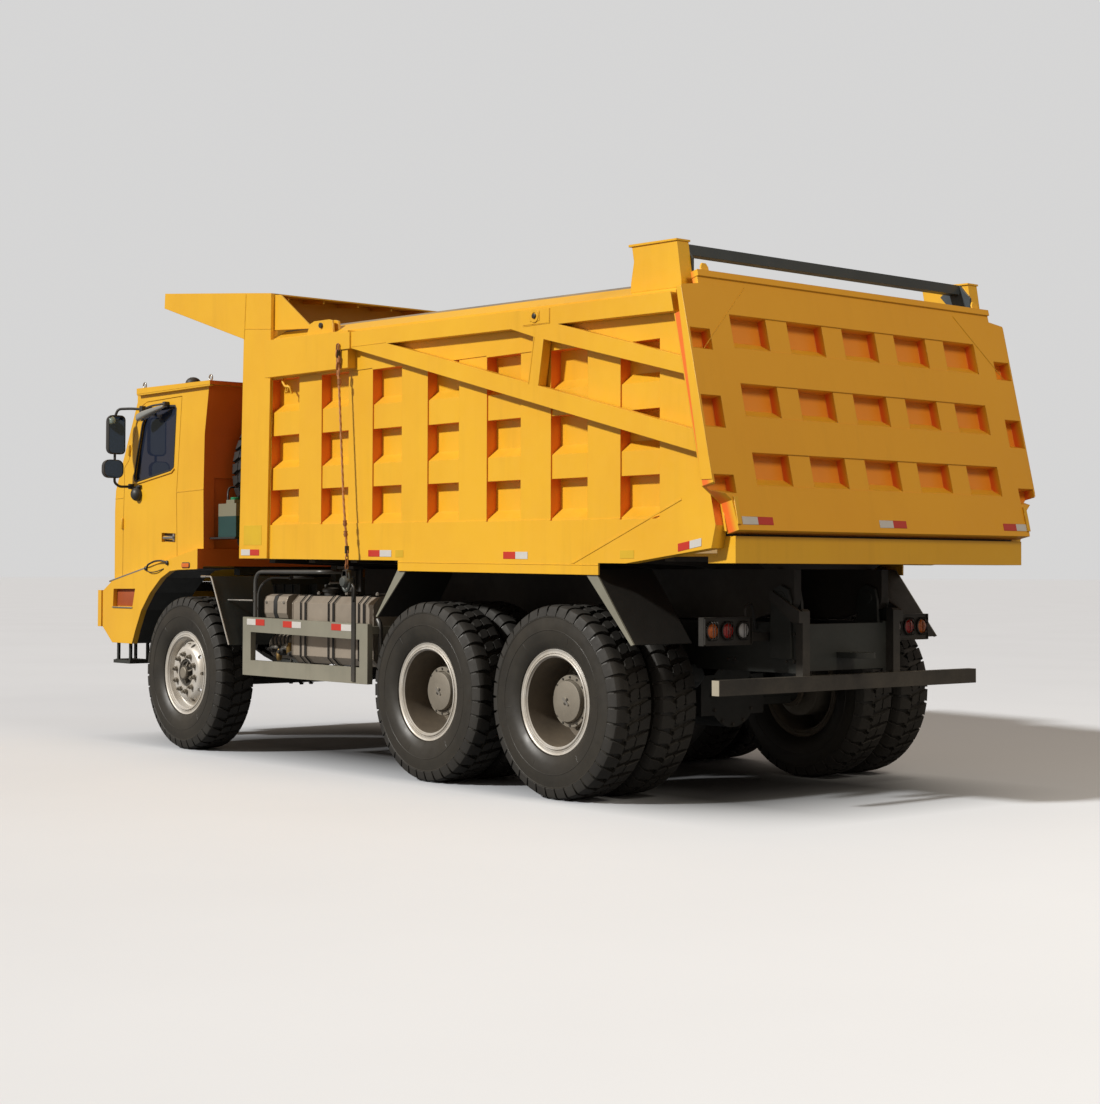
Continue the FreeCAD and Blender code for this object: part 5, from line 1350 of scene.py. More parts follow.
def kerb_mirror():
    "long rounded head over the door, on an arm with two feet"
    k = Shape()
    outline = rounded_outline(-1, 1, -1, 1, 0.72, 6)
    stations = ((-0.56, 3.122, 1.612, 0.014, 0.012), (-0.62, 3.11, 1.62, 0.026, 0.019),
                (-0.74, 3.084, 1.64, 0.038, 0.028), (-0.86, 3.056, 1.652, 0.046, 0.038),
                (-0.94, 3.036, 1.66, 0.04, 0.036), (-0.966, 3.03, 1.66, 0.02, 0.02))
    k.loft([[P(x + u * hx, y, z + w * hz) for u, w in outline] for y, z, x, hx, hz in stations])
    bent(k, [(1.566, -0.9, 3.118), (1.64, -0.86, 3.122), (1.65, -0.7, 3.136), (1.6, -0.56, 3.148)], 0.01,
         0.05, 10, 1)
    k.block(CAB_X + 0.0005, 1.612, -0.59, -0.548, 3.128, 3.166, 1)
    k.block(CAB_X + 0.0005, 1.6, -0.925, -0.88, 3.096, 3.14, 1)
    settle(k.build("kerb_mirror", ["smoked_plastic", "black_plastic"], smooth=50, bevel=0.003, segments=2),
           "door", "black_plastic")


def right_mirror():
    "head on the right, on the handrail"
    r = Shape()
    mirror_head(r, -1.886, -1.69, 2.62, 2.99, -1.64, -1.56, 0.045)
    r.slab(rounded_outline(-1.62, -1.58, 2.6, 2.66, 0.01), "x", -1.565, -1.515)
    settle(r.build("right_mirror_glass", ["black_plastic", "mirror_glass"], smooth=40), "chassis",
           "black_plastic")


class TRUCK_OT_mirrors(bpy.types.Operator):
    """Mirrors, their arms and the kerb mirror over the door"""
    bl_idname = "truck.mirrors"
    bl_label = "Mirrors"

    def execute(self, context):
        left_mirrors()
        kerb_mirror()
        right_mirror()
        return {"FINISHED"}


def window_frame(s, pts, x, wide, thick, mat, out=1):
    "rubber frame that follows a window's edge, as a band between two outlines"
    n = len(pts)
    c = Vector((sum(p[0] for p in pts) / n, sum(p[1] for p in pts) / n))
    inner, outer = [], []
    for i in range(n):
        a, b, d = Vector(pts[i - 1]), Vector(pts[i]), Vector(pts[(i + 1) % n])
        t = ((b - a).normalized() + (d - b).normalized()).normalized()
        m = Vector((t.y, -t.x))
        if m.dot(b - c) < 0:
            m = -m
        outer.append(b + m * 0.004)
        inner.append(b - m * wide)
    for i in range(n):
        j = (i + 1) % n
        quad = [inner[i], outer[i], outer[j], inner[j]]
        s.slab([(q.x, q.y) for q in quad], "x", x, x + out * thick, mat)


WINDOW = [(-0.6, 3.136), (-0.44, 3.128), (-0.414, 3.095), (-0.458, 2.56), (-0.492, 2.526), (-1.165, 2.441),
          (-1.215, 2.455), (-1.228, 2.5), (-1.075, 2.985), (-1.0, 3.09), (-0.93, 3.128)]


def door_trim():
    "window rubber, hinges, handle in its recess, lamp bowl"
    d = Shape()
    window_frame(d, WINDOW, 1.55, 0.016, 0.0125, 0)
    d.slab([(-1.236, 2.424), (-1.16, 2.42), (-0.49, 2.504), (-0.44, 2.535), (-0.446, 2.545), (-0.494, 2.52),
            (-1.163, 2.434), (-1.226, 2.44)], "x", CAB_X + 0.0005, 1.572, 1)
    for z in (2.05, 2.75):
        d.rod(-0.05, 0.05, 0.016, (1.566, -1.436 + max(0, z - 2.3) * 0.28, z), "z", 16, 1)
    # handle in its dark recess
    d.slab([(-0.672, 1.872), (-0.422, 1.862), (-0.422, 1.938), (-0.672, 1.948)], "x", 1.5283, 1.53, 3)
    d.slab(rounded_outline(-0.656, -0.44, 1.896, 1.916, 0.009), "x", 1.5525, 1.56, 2)
    d.slab(rounded_outline(-0.47, -0.44, 1.872, 1.94, 0.012), "x", 1.535, 1.5615, 2)
    d.lathe([(0, 0), (0, 0.013), (0.004, 0.013), (0.005, 0.01), (0.005, 0)], (1.559, -0.455, 1.906), "x", 18,
            3)
    # round lamp bowl under the window's front corner
    d.lathe([(0.0, 0.0), (0.0, 0.062), (0.018, 0.066), (0.045, 0.058), (0.066, 0.038), (0.074, 0.0)],
            (CAB_X + 0.0005, -1.127, 2.323), "x", 36, 3)
    d.slab([(-1.195, 2.372), (-1.06, 2.39), (-1.066, 2.41), (-1.2, 2.392)], "x", CAB_X + 0.0005, 1.59, 3)
    settle(d.build("trim_of_door", ["rubber_seal", "body_paint", "zinc", "black_plastic"], smooth=35,
                   bevel=0.0015, segments=2), "door", "black_plastic")


def cab_fittings():
    "roof fittings, drip edge, creases, grab bar, lamps"
    c = Shape()
    # beacon and lifting eyes on the roof, small marker lamp at the front corner
    c.lathe([(0.0, 0.0), (0.0, 0.07), (0.012, 0.072), (0.03, 0.066), (0.05, 0.05), (0.062, 0.026),
             (0.066, 0.0)], (1.47, -0.27, 3.314), "z", 36, 3)
    for y, z in ((0.15, 3.307), (-1.08, 3.324)):
        for x in (1.53, -0.07):
            eye = circle(P(x, y, z + 0.032), Vector(AXES["y"]), Vector(AXES["z"]), 0.026, 20)
            c.pipe(eye, 0.0075, 8, 2, closed=True)
            c.lathe([(0, 0), (0, 0.022), (0.01, 0.02), (0.012, 0.0)], (x, y, z - 0.002), "z", 16, 2)
    # drip edge under the roof's rim, crease round the cab at the window's foot
    c.block(1.5605, 1.598, -1.105, 0.25, 3.256, 3.2695, 1)
    for y0, z0, y1, z1 in ((-1.592, 2.29, -1.434, 2.294), (-0.398, 2.318, 0.083, 2.33)):
        c.slab([(y0, z0), (y1, z1), (y1, z1 + 0.01), (y0, z0 + 0.01)], "x", CAB_X + 0.0002, 1.5632, 1)
    # light strip along the cab's foot over the fender, curved grab bar
    foot = [(y, ledge(y, -0.006)) for y in (-1.59, -0.87)]
    c.slab(foot + [(y, z + 0.0135) for y, z in foot[::-1]], "x", CAB_X + 0.0005, 1.622, 2)
    bent(c, [(1.622, -0.84, 1.632), (1.646, -0.78, 1.655), (1.65, -0.64, 1.69), (1.65, -0.5, 1.692),
             (1.622, -0.45, 1.672)], 0.009, 0.09, 12, 4)
    bent(c, [(1.622, -0.85, 1.604), (1.64, -0.76, 1.584), (1.64, -0.64, 1.588), (1.622, -0.52, 1.618)], 0.005,
         0.06, 10, 0)
    for y, z in ((-0.85, 1.62), (-0.45, 1.672)):
        c.lathe([(0, 0), (0, 0.021), (0.014, 0.021), (0.02, 0.012), (0.02, 0)], (FOOT_X, y, z), "x", 20, 4)
    # side marker lamps and sunk fields on both sides, the fields' backs in painted shade, with a base and a
    # lip on the left
    right = Shape()
    for shape, sx in ((c, 1), (right, -1)):
        shape.slab(rounded_outline(-0.178, -0.048, 1.63, 1.668, 0.012), "x", sx * FOOT_X, sx * 1.632, 5)
        shape.slab([(-1.5, 1.424), (-1.505, 1.264), (-1.124, 1.264), (-1.075, 1.424)], "x", sx * 1.5755,
                   sx * 1.58, 6)
    c.slab(rounded_outline(-0.186, -0.04, 1.622, 1.676, 0.016), "x", 1.6203, 1.6245, 3)
    c.slab([(-1.512, 1.244), (-1.12, 1.244), (-1.118, 1.256), (-1.513, 1.256)], "x", FOOT_X, 1.63, 2)
    mats = ["rubber_seal", "body_paint", "zinc", "black_plastic", "black_steel_and_painted_shade", "lamp_orange",
            "recess_painted_shade"]
    obs = [c.build("a", mats, smooth=35, bevel=0.0015), right.build("b", mats, smooth=0, bevel=0.0015)]
    settle(joined("trim_of_cab", obs), "chassis", "body_paint")


def wipers():
    "wipers and the windscreen's rubber"
    w = Shape()

    def on_screen(z, off=0.0):
        return -1.585 + (z - 2.373) * 0.5103 - off
    for x0, x1 in ((0.15, 0.62), (0.82, 1.29)):
        w.rod(-0.035, 0.012, 0.02, (x0, on_screen(2.42, 0.02), 2.42), (0, 1, -0.4), 16, 0)
        w.pipe([P(x0, on_screen(2.42, 0.045), 2.42), P((x0 + x1) / 2, on_screen(2.66, 0.03), 2.66)], 0.008, 8,
               0)
        w.pipe([P(x0 + 0.02, on_screen(2.5, 0.014), 2.5), P(x1, on_screen(2.9, 0.014), 2.9)], 0.01, 6, 0,
               flat=0.5)
    # screen rubber
    for (xa, za), (xb, zb) in (((0.02, 2.45), (1.44, 2.45)), ((0.02, 3.125), (1.44, 3.125)),
                               ((0.02, 2.45), (0.02, 3.125)), ((1.44, 2.45), (1.44, 3.125))):
        w.pipe([P(xa, on_screen(za, -0.012), za), P(xb, on_screen(zb, -0.012), zb)], 0.012, 8, 0)
    settle(w.build("wipers", ["black_plastic"], smooth=35), "chassis", "black_plastic")


class TRUCK_OT_cab_trim(bpy.types.Operator):
    """Window rubbers, handle, hinges, lamps, roof fittings and wipers"""
    bl_idname = "truck.cab_trim"
    bl_label = "Cab trim"

    def execute(self, context):
        door_trim()
        cab_fittings()
        wipers()
        return {"FINISHED"}


# ---- inside of the cab
def cushion(name, x0, x1, y0, y1, z0, z1, lean=0.0):
    "padded cushion: a block blown up as cloth, its growth capped, smoothed and sewn with two channels"
    bm = bmesh.new()
    shrink = 0.018
    bmesh.ops.create_cube(bm, size=1.0)
    size = (x1 - x0 - 2 * shrink, y1 - y0 - 2 * shrink, z1 - z0 - 2 * shrink)
    bmesh.ops.scale(bm, vec=size, verts=bm.verts)
    bmesh.ops.bevel(bm, geom=bm.edges[:], offset=0.024, segments=3, affect="EDGES", profile=0.6)
    me = bpy.data.meshes.new(name)
    bm.to_mesh(me)
    bm.free()
    ob = linked(name, me)
    mod = ob.modifiers.new("voxels", "REMESH")
    mod.mode, mod.voxel_size = "VOXEL", 0.006
    ob = flatten(ob)
    rest = [v.co.copy() for v in ob.data.vertices]
    cloth = ob.modifiers.new("cloth", "CLOTH")
    cloth.settings.use_pressure = True
    cloth.settings.uniform_pressure_force = 4.0
    cloth.settings.effector_weights.gravity = 0.0
    cloth.point_cache.frame_start, cloth.point_cache.frame_end = 1, 20
    for f in range(1, 21):
        bpy.context.scene.frame_set(f)
    ob = flatten(ob)
    bpy.context.scene.frame_set(1)
    cap = 0.014
    for v, r in zip(ob.data.vertices, rest):
        step = v.co - r
        if step.length > cap:
            step = step.normalized() * cap
        p = r + step
        for k in (-1, 1):
            groove = abs(p.x - k * size[0] * 0.22)
            if groove < 0.012 and abs(p.z) > size[2] * 0.3:
                p.z -= math.copysign(0.006 * (1 - groove / 0.012), p.z)
        v.co = p
    sub = ob.modifiers.new("smooth", "SUBSURF")
    sub.levels = 1
    ob = flatten(ob)
    leaning = Matrix.Rotation(lean, 4, "X")
    ob.data.transform(Matrix.Translation(P((x0 + x1) / 2, (y0 + y1) / 2, (z0 + z1) / 2)) @ leaning)
    ob.data.materials.append(MATS["seat_fabric"])
    soften(ob.data, 60)
    return ob


def driver_seat():
    "three cushions"
    base = cushion("seat_cushion", 0.772, 1.248, -0.758, -0.215, 2.062, 2.172)
    back = cushion("seat_back", 0.784, 1.236, -0.318, -0.205, 2.18, 2.64, -0.155)
    back.data.transform(Matrix.Translation((0, 0.03, 0)))
    head = cushion("seat_head", 0.88, 1.14, -0.205, -0.115, 2.65, 2.79, -0.155)
    for ob, *stands_for in ((base, "seat"), (back,), (head,)):
        settle(ob, "chassis", "seat_fabric", *stands_for)


def seat_base():
    "box under the seat and the headrest's rods"
    s = Shape()
    s.slab([(-0.6, ledge(-0.6, 0.061)), (-0.28, ledge(-0.28, 0.061)), (-0.3, 2.04), (-0.58, 2.04)], "x", 0.88,
           1.14, 0)
    s.block(0.8, 1.22, -0.7, -0.26, 2.04, 2.06, 0)
    for x in (0.96, 1.06):
        s.pipe([P(x, -0.185, 2.62), P(x, -0.17, 2.7)], 0.007, 8, 1)
    settle(s.build("seat_base", ["black_plastic", "zinc"], smooth=35, bevel=0.006), "chassis",
           "black_plastic")


def dashboard_fittings():
    "gauges and switches on the dashboard, gear lever"
    g = Shape()
    for k in range(3):
        g.lathe([(0, 0), (0, 0.045), (0.012, 0.048), (0.016, 0.04), (0.01, 0.036), (0.01, 0)],
                (0.9 + 0.12 * k, -1.262, 2.285), (0, 1, 0.25), 24, 0)
    for k in range(8):
        g.block(0.25 + 0.05 * k, 0.285 + 0.05 * k, -1.262, -1.246, 2.24, 2.27, 0)
    g.pipe([P(0.7, -0.95, 1.86), P(0.72, -0.93, 2.16)], 0.011, 10, 0)
    g.lathe([(-0.03, 0), (-0.03, 0.018), (0.0, 0.026), (0.03, 0.018), (0.03, 0)], (0.722, -0.928, 2.18), "z",
            18, 0)
    settle(g.build("dashboard_fittings", ["black_plastic"], smooth=35, bevel=0.003), "chassis",
           "black_plastic")


class TRUCK_OT_interior(bpy.types.Operator):
    """Driver's seat with its base, gauges and switches of the dashboard, gear lever"""
    bl_idname = "truck.interior"
    bl_label = "Interior"

    def execute(self, context):
        driver_seat()
        seat_base()
        dashboard_fittings()
        return {"FINISHED"}


# ---- tank side
def tank_fittings():
    "rubber under the straps, filler cap, canister, pipes and valves, tape on the guards"
    s = Shape()
    outer = [(1.046, 0.822), (1.444, 0.822), (1.508, 0.886), (1.508, 1.334), (1.444, 1.398), (1.046, 1.398),
             (0.992, 1.344), (0.992, 0.876)]
    for y in (c - 0.025 for c in STRAPS):
        for off in (-0.022, 0.062):
            ring = [(x + (0.004 if x > 1.3 else -0.004), z + (0.004 if z > 1.1 else -0.004)) for x,
                    z in outer]
            for i in range(len(ring)):
                a, b = Vector(ring[i]), Vector(ring[(i + 1) % len(ring)])
                m = Vector(((b - a).y, -(b - a).x)).normalized() * 0.006
                s.slab([tuple(a - m), tuple(b - m), tuple(b), tuple(a)], "y", y + off, y + off + 0.01)
        s.rod(-0.05, 0.05, 0.008, (1.3, y + 0.025, 1.412), "x", 12, 2)
        s.bolt((1.352, y + 0.025, 1.412), (1, 0, 0), 0.013, 0.012, 2)
    # filler neck and cap with its grip
    s.lathe([(0, 0), (0, 0.055), (0.03, 0.055), (0.034, 0.072), (0.06, 0.072), (0.068, 0.06), (0.07, 0)],
            (1.3, 1.77, 1.392), "z", 40, 3)
    s.slab(rounded_outline(1.24, 1.36, 1.46, 1.486, 0.01), "y", 1.758, 1.782, 3)
    # seam round the tank's ends
    inset = [(x - 0.006 * (1 if x > 1.3 else -1), z - 0.006 * (1 if z > 1.1 else -1)) for x, z in outer]
    for y in (1.494, 2.686):
        for (xa, za), (xb, zb) in zip(inset, inset[1:] + inset[:1]):
            s.pipe([P(xa, y, za), P(xb, y, zb)], 0.006, 6, 1)
    # thin bracket over the tank
    bent(s, [(1.15, 1.52, 1.392), (1.15, 1.52, 1.5), (1.15, 1.76, 1.5), (1.15, 1.76, 1.462)], 0.009, 0.02, 8,
         2)
    # dark band round the small tank, two plugs
    loop = [(1.286, 1.24), (1.304, 1.194), (1.35, 1.176), (1.44, 1.176), (1.486, 1.194), (1.504, 1.24),
            (1.504, 1.34), (1.486, 1.386), (1.44, 1.404), (1.35, 1.404), (1.304, 1.386), (1.286, 1.34)]
    s.slab(loop, "y", 1.19, 1.246)
    for y in (1.075, 1.35):
        s.bolt((1.501, y, 1.33), (1, 0, 0), 0.01, 0.008, 2)
    # filter canister with its valve head
    s.lathe([(-0.085, 0), (-0.085, 0.044), (-0.078, 0.05), (0.06, 0.05), (0.068, 0.042), (0.068, 0)],
            (1.32, 2.08, 1.53), "z", 32, 4)
    s.lathe([(0.066, 0), (0.066, 0.058), (0.086, 0.058), (0.092, 0.04), (0.11, 0.036), (0.112, 0)],
            (1.32, 2.08, 1.53), "z", 24, 3)
    s.block(1.27, 1.37, 1.96, 2.2, 1.618, 1.64, 3)
    s.block(1.255, 1.275, 1.99, 2.17, 1.43, 1.64, 3)
    # pipes: two bent ones rise at the guard's front end and run to the rear
    bent(s, [(1.575, 1.01, 1.205), (1.575, 1.01, 1.59), (1.575, 1.25, 1.592), (1.56, 2.02, 1.592),
             (1.4, 2.06, 1.592)], 0.017, 0.17, 14, 5)
    bent(s, [(1.5, 0.935, 1.19), (1.5, 0.935, 1.445), (1.5, 1.11, 1.543), (1.5, 1.46, 1.544),
             (1.3, 1.5, 1.544)], 0.011, 0.14, 12, 5)
    s.rod(-0.015, 0.015, 0.017, (1.5, 1.455, 1.544), "y", 14, 3)
    bent(s, [(1.505, 2.75, 1.215), (1.505, 2.78, 1.18), (1.505, 2.795, 0.9), (1.505, 2.78, 0.79),
             (1.4, 2.74, 0.78)], 0.019, 0.06, 12, 5)
    # valves and hoses seen through the guard's window
    rnd = random.Random(12)
    for k in range(7):
        y, z = 1.075 + 0.055 * k, 0.93 + 0.05 * rnd.uniform(-1, 1)
        r = rnd.uniform(0.02, 0.034)
        s.lathe([(-0.05, 0), (-0.05, r * 0.7), (-0.03, r), (0.02, r), (0.035, r * 0.6), (0.05, r * 0.5),
                 (0.05, 0)], (1.44, y, z), ("x", "y", "z")[k % 3], 18, (3, 2, 6)[k % 3])
    for k in range(5):
        y = 1.08 + 0.06 * k
        bent(s, [(1.43, y, 0.95), (1.46, y + 0.02, 1.04), (1.36, y + 0.05, 1.1), (0.9, y + 0.08, 1.12)],
             0.008, 0.05, 8, 3)
    # tape on both guards' top bars
    for sx in (1, -1):
        for a, b, mats in (((0.985, 1.163), (1.268, 1.16), (7, 8)), ((1.56, 1.154), (1.84, 1.151), (8, 7)),
                           ((2.29, 1.148), (2.575, 1.145), (8, 7))):
            strip_on(s, sx * GUARD_X, a, b, 0.052, mats, out=sx)
    mats = ["rubber_seal", "tank_paint", "zinc", "black_plastic", "canister_white", "pipe_grey", "brass",
            "reflector_white", "reflector_red"]
    settle(s.build("trim_of_tanks", mats, smooth=35, weld=False), "chassis", "guard_paint")


def rope_shackles():
    "anchor post heads with the large shackles of the tailgate ropes"
    a = Shape()
    a.slab([(2.585, 1.5), (2.645, 1.5), (2.655, 1.56), (2.64, 1.606), (2.59, 1.606), (2.575, 1.56)], "x",
           1.69, 1.74, 0)
    bow = []
    for k in range(24):
        up, aside = math.cos(turn(k, 24)), math.sin(turn(k, 24))
        bow.append(P(ROPE_X, 2.612 + 0.05 * aside * (1.0 if up < 0 else 0.75), 1.52 + 0.078 * up))
    a.pipe(bow, 0.015, 10, 1, closed=True)
    a.lathe([(-0.045, 0), (-0.045, 0.036), (-0.02, 0.05), (0.02, 0.05), (0.045, 0.036), (0.045, 0)],
            (ROPE_X, 2.615, 1.515), "x", 28, 1)
    bent(a, [(1.7, 2.66, 1.5), (1.7, 2.7, 1.47), (1.69, 2.69, 1.4), (1.668, 2.64, 1.36)], 0.012, 0.05, 10, 0)
    a.mirrored()
    settle(a.build("rope_shackles", ["black_steel_and_painted_shade", "shackle_grey"], smooth=45, bevel=0.003), "chassis",
           "chassis_paint")


def bottle_fittings():
    "cap and hoses of the coolant bottle"
    b = Shape()
    b.lathe([(0, 0), (0, 0.036), (0.02, 0.038), (0.024, 0.03), (0.024, 0)], (1.405, 0.372, 2.234), "z", 28, 0)
    bent(b, [(1.4, 0.25, 2.205), (1.4, 0.24, 2.3), (1.34, 0.17, 2.36), (1.1, 0.14, 2.34)], 0.009, 0.08, 10, 1)
    bent(b, [(1.42, 0.47, 1.905), (1.42, 0.47, 1.84), (1.3, 0.42, 1.76), (0.9, 0.3, 1.74)], 0.014, 0.07, 12,
         1)
    settle(b.build("bottle_fittings", ["green_cap", "black_plastic"], smooth=40, weld=False), "chassis",
           "green_plastic")


class TRUCK_OT_tank_trim(bpy.types.Operator):
    """Rubber under the tank's straps, filler cap, pipes, valves and tape on the side guards"""
    bl_idname = "truck.tank_trim"
    bl_label = "Tank trim"

    def execute(self, context):
        tank_fittings()
        rope_shackles()
        bottle_fittings()
        return {"FINISHED"}


# ---- mudguards, steps, hood and deck
def front_fittings():
    "mudguard edges, step treads, bumper lamps, tow hooks, hood latches"
    s = Shape()
    for sx in (1, -1):
        s.pipe([P(sx * 1.748, 0.392, 1.548), P(sx * 1.748, 0.47, 1.548)], 0.011, 8, 0)
        bent(s, [(sx * 1.748, 0.43, 1.549), (sx * 1.748, 0.56, 1.549), (sx * 1.748, 0.866, 0.962)], 0.008,
             0.02, 8, 0)
        s.pipe([P(sx * 1.7, 0.52, 1.5), P(sx * 1.6, 0.52, 1.5)], 0.012, 8, 1)
        # stay from the mudguard to the pipes
        s.pipe([P(sx * 1.64, 0.64, 1.345), P(sx * 1.6, 1.01, 1.345)], 0.008, 8, 0)
        # tread of the boarding step
        for k in range(6):
            s.block(sx * 1.345, sx * 1.545, -1.59 + 0.052 * k, -1.575 + 0.052 * k, 0.7455, 0.751, 2)
        # arch edge rolled round
        arch = [(-1.128, 0.912), (-1.064, 1.038), (-0.95, 1.229), (-0.784, 1.394), (-0.583, 1.532),
                (-0.408, 1.6), (-0.26, 1.612), (0.088, 1.619)]
        s.pipe([P(sx * 1.616, y, z) for y, z in arch], 0.007, 8, 3)
    # bumper: lamps, grille bars, tow hooks, seam lines
    for x in (-1.3, -0.98, 0.98, 1.3):
        s.lathe([(0, 0), (0, 0.075), (0.01, 0.078), (0.016, 0.068), (0.008, 0.062), (0.004, 0)],
                (x, BUMPER_Y, 1.235), (0, -1, 0), 36, 1)
        s.lathe([(0.002, 0), (0.002, 0.06), (0.01, 0.056), (0.016, 0.034), (0.018, 0)], (x, BUMPER_Y, 1.235),
                (0, -1, 0), 32, 4)
    for x in (-1.47, 1.47):
        s.slab(rounded_outline(x - 0.055, x + 0.055, 1.19, 1.28, 0.015), "y", -1.872, BUMPER_Y, 5)
    for sx in (1, -1):
        bent(s, [(sx * 0.46, BUMPER_Y, 1.15), (sx * 0.46, -1.93, 1.15), (sx * 0.46, -1.93, 1.05),
                 (sx * 0.46, BUMPER_Y, 1.05)], 0.017, 0.04, 12, 1)
    s.block(-0.26, 0.26, -1.866, BUMPER_Y, 1.175, 1.29, 6)
    for k in range(10):
        for z in (1.09, 1.38):
            s.bolt((-1.4 + 0.311 * k, BUMPER_Y, z), (0, -1, 0), 0.013, 0.01, 7)
    # radiator cores behind both grilles, rubber strip under the cab's front edge
    for z0, z1 in ((1.53, 1.685), (1.78, 1.97)):
        s.block(-1.08, -0.2, -1.58, -1.56, z0, z1, 2)
    s.block(-0.1, 1.55, -1.638, -1.602, 1.4, 1.4915, 2)
    # hood: latches, hinges, seam and lifting handle
    for y in (-1.25, -0.35):
        s.slab(rounded_outline(y - 0.045, y + 0.045, 1.8, 1.86, 0.012), "x", -1.1205, -1.134, 1)
        s.slab(rounded_outline(y - 0.012, y + 0.012, 1.74, 1.84, 0.008), "x", -1.134, -1.142, 7)
    s.block(-1.1, -0.18, -0.75, -0.738, 2.1205, 2.1235, 1)
    bent(s, [(-0.74, -1.2, 2.12), (-0.74, -1.2, 2.16), (-0.54, -1.2, 2.16), (-0.54, -1.2, 2.12)], 0.009, 0.03,
         10, 1)
    mats = ["zinc", "black_steel_and_painted_shade", "black_plastic", "body_paint", "lamp_clear", "lamp_orange", "sheet_white_and_painted_highlight",
            "zinc"]
    settle(s.build("trim_of_front", mats, smooth=35, weld=False), "chassis", "body_paint")


def deck_grip():
    "rows of raised bars on the deck"
    grip = Shape()
    grip.slab([(-1.545, -1.58), (-1.525, -1.56), (-1.53, -1.553), (-1.552, -1.574)], "z", DECK_Z,
              DECK_Z + 0.003, 0)
    row = rowed(grip, "grip_row", "body_paint", 26, (0, 0.066, 0), smooth=0)
    cols = []
    for k in range(9):
        me = row.data.copy()
        me.transform(Matrix.Translation((0.044 * k, 0.033 * (k % 2), 0)))
        cols.append(linked("grip", me))
    bpy.data.objects.remove(row)
    settle(joined("deck_grip", cols), "chassis", "body_paint")


def air_cleaner_fittings():
    "bands, cap and duct"
    a = Shape()
    for z in (1.86, 2.36):
        a.lathe([(-0.014, 0.2105), (-0.014, 0.215), (0.014, 0.215), (0.014, 0.2105)],
                (CLEANER_X, CLEANER_Y, z), "z", 64, 0)
        a.block(CLEANER_X - 0.02, CLEANER_X + 0.02, 0.69, 0.712, z - 0.02, z + 0.02, 0)
    a.lathe([(2.484, 0.1205), (2.484, 0.13), (2.592, 0.13), (2.592, 0.1205)], (CLEANER_X, CLEANER_Y, 0), "z",
            48, 1)
    for k in range(20):
        x, y = CLEANER_X + math.cos(turn(k, 20)) * 0.15, CLEANER_Y + math.sin(turn(k, 20)) * 0.15
        a.block(x - 0.004, x + 0.004, y - 0.004, y + 0.004, 2.5, 2.6, 1)
    bent(a, [(-1.0, 0.4, 1.95), (-0.86, 0.3, 1.95), (-0.8, 0.17, 1.95), (-0.8, 0.08, 1.95)], 0.07, 0.1, 24, 1)
    settle(a.build("air_cleaner_fittings", ["zinc", "black_plastic"], smooth=40, weld=False), "chassis",
           "black_plastic")


def battery_box_fittings():
    "lid straps and ribs"
    c = Shape()
    for y in (1.72, 2.08):
        c.block(-1.514, -0.986, y - 0.02, y + 0.02, 1.3505, 1.356, 0)
        c.block(-1.516, -1.5105, y - 0.02, y + 0.02, 1.1, 1.356, 0)
        c.slab(rounded_outline(y - 0.018, y + 0.018, 1.06, 1.12, 0.006), "x", -1.5005, -1.514, 1)
    for k in range(5):
        c.block(-1.5045, -1.5005, 1.58 + 0.15 * k, 1.6 + 0.15 * k, 0.9, 1.28, 2)
    settle(c.build("battery_box_fittings", ["zinc", "black_steel_and_painted_shade", "chassis_paint"], smooth=35, bevel=0.001,
                   segments=1), "chassis", "chassis_paint")


class TRUCK_OT_front_trim(bpy.types.Operator):
    """Edges of the mudguards, steps, bumper lamps, deck grip, hood, air cleaner and battery box fittings"""
    bl_idname = "truck.front_trim"
    bl_label = "Front trim"

    def execute(self, context):
        front_fittings()
        deck_grip()
        air_cleaner_fittings()
        battery_box_fittings()
        return {"FINISHED"}


# ---- rear lamps and underside
class TRUCK_OT_rear_trim(bpy.types.Operator):
    """Rear lamps with their wire guards, the lamp boxes' rims and the bumper's end caps"""
    bl_idname = "truck.rear_trim"
    bl_label = "Rear trim"

    def execute(self, context):
        s = Shape()
        for sx in (1, -1):
            for mat, x in enumerate((1.102, 0.955, 0.805)):
                s.lathe([(0, 0), (0, 0.052), (0.01, 0.05), (0.022, 0.034), (0.026, 0)],
                        (sx * x, LAMP_Y, 1.198), (0, 1, 0), 36, mat)
                s.lathe([(0, 0.054), (0, 0.062), (0.016, 0.062), (0.018, 0.054)], (sx * x, LAMP_Y, 1.198),
                        (0, 1, 0), 36, 3)
                for wire_x in (sx * (x - 0.024), sx * x, sx * (x + 0.024)):
                    guard = ((6.112, 1.262), (6.15, 1.256), (6.15, 1.14), (6.112, 1.134))
                    bent(s, [(wire_x, y, z) for y, z in guard], 0.003, 0.015, 6, 3)
            # rim round the lamp box
            a, b = sorted((sx * 0.718, sx * 1.175))
            for z in (1.099, 1.284):
                s.block(a, b, LAMP_Y, 6.122, z, z + 0.006, 3)
            for x in (a, b - 0.006):
                s.block(x, x + 0.006, LAMP_Y, 6.122, 1.099, 1.29, 3)
            bent(s, [(sx * 0.74, 6.075, 1.29), (sx * 0.74, 6.07, 1.36), (sx * 0.62, 6.02, 1.38),
                     (sx * 0.51, 5.95, 1.2)], 0.009, 0.05, 8, 4)
            # pale end cap of the bumper bar: painted highlight, the bar's grey paint as its sunlit end looks
            s.block(sx * 1.3452, sx * 1.35, 6.362, 6.428, 0.782, 0.883, 5)
        mats = ["lamp_orange", "lamp_red", "lamp_clear", "black_steel_and_painted_shade", "black_plastic", "sheet_white_and_painted_highlight",
                "zinc"]
        settle(s.build("trim_of_rear", mats, smooth=40, weld=False), "chassis", "lamp_lens", "tail_lamps")
        return {"FINISHED"}


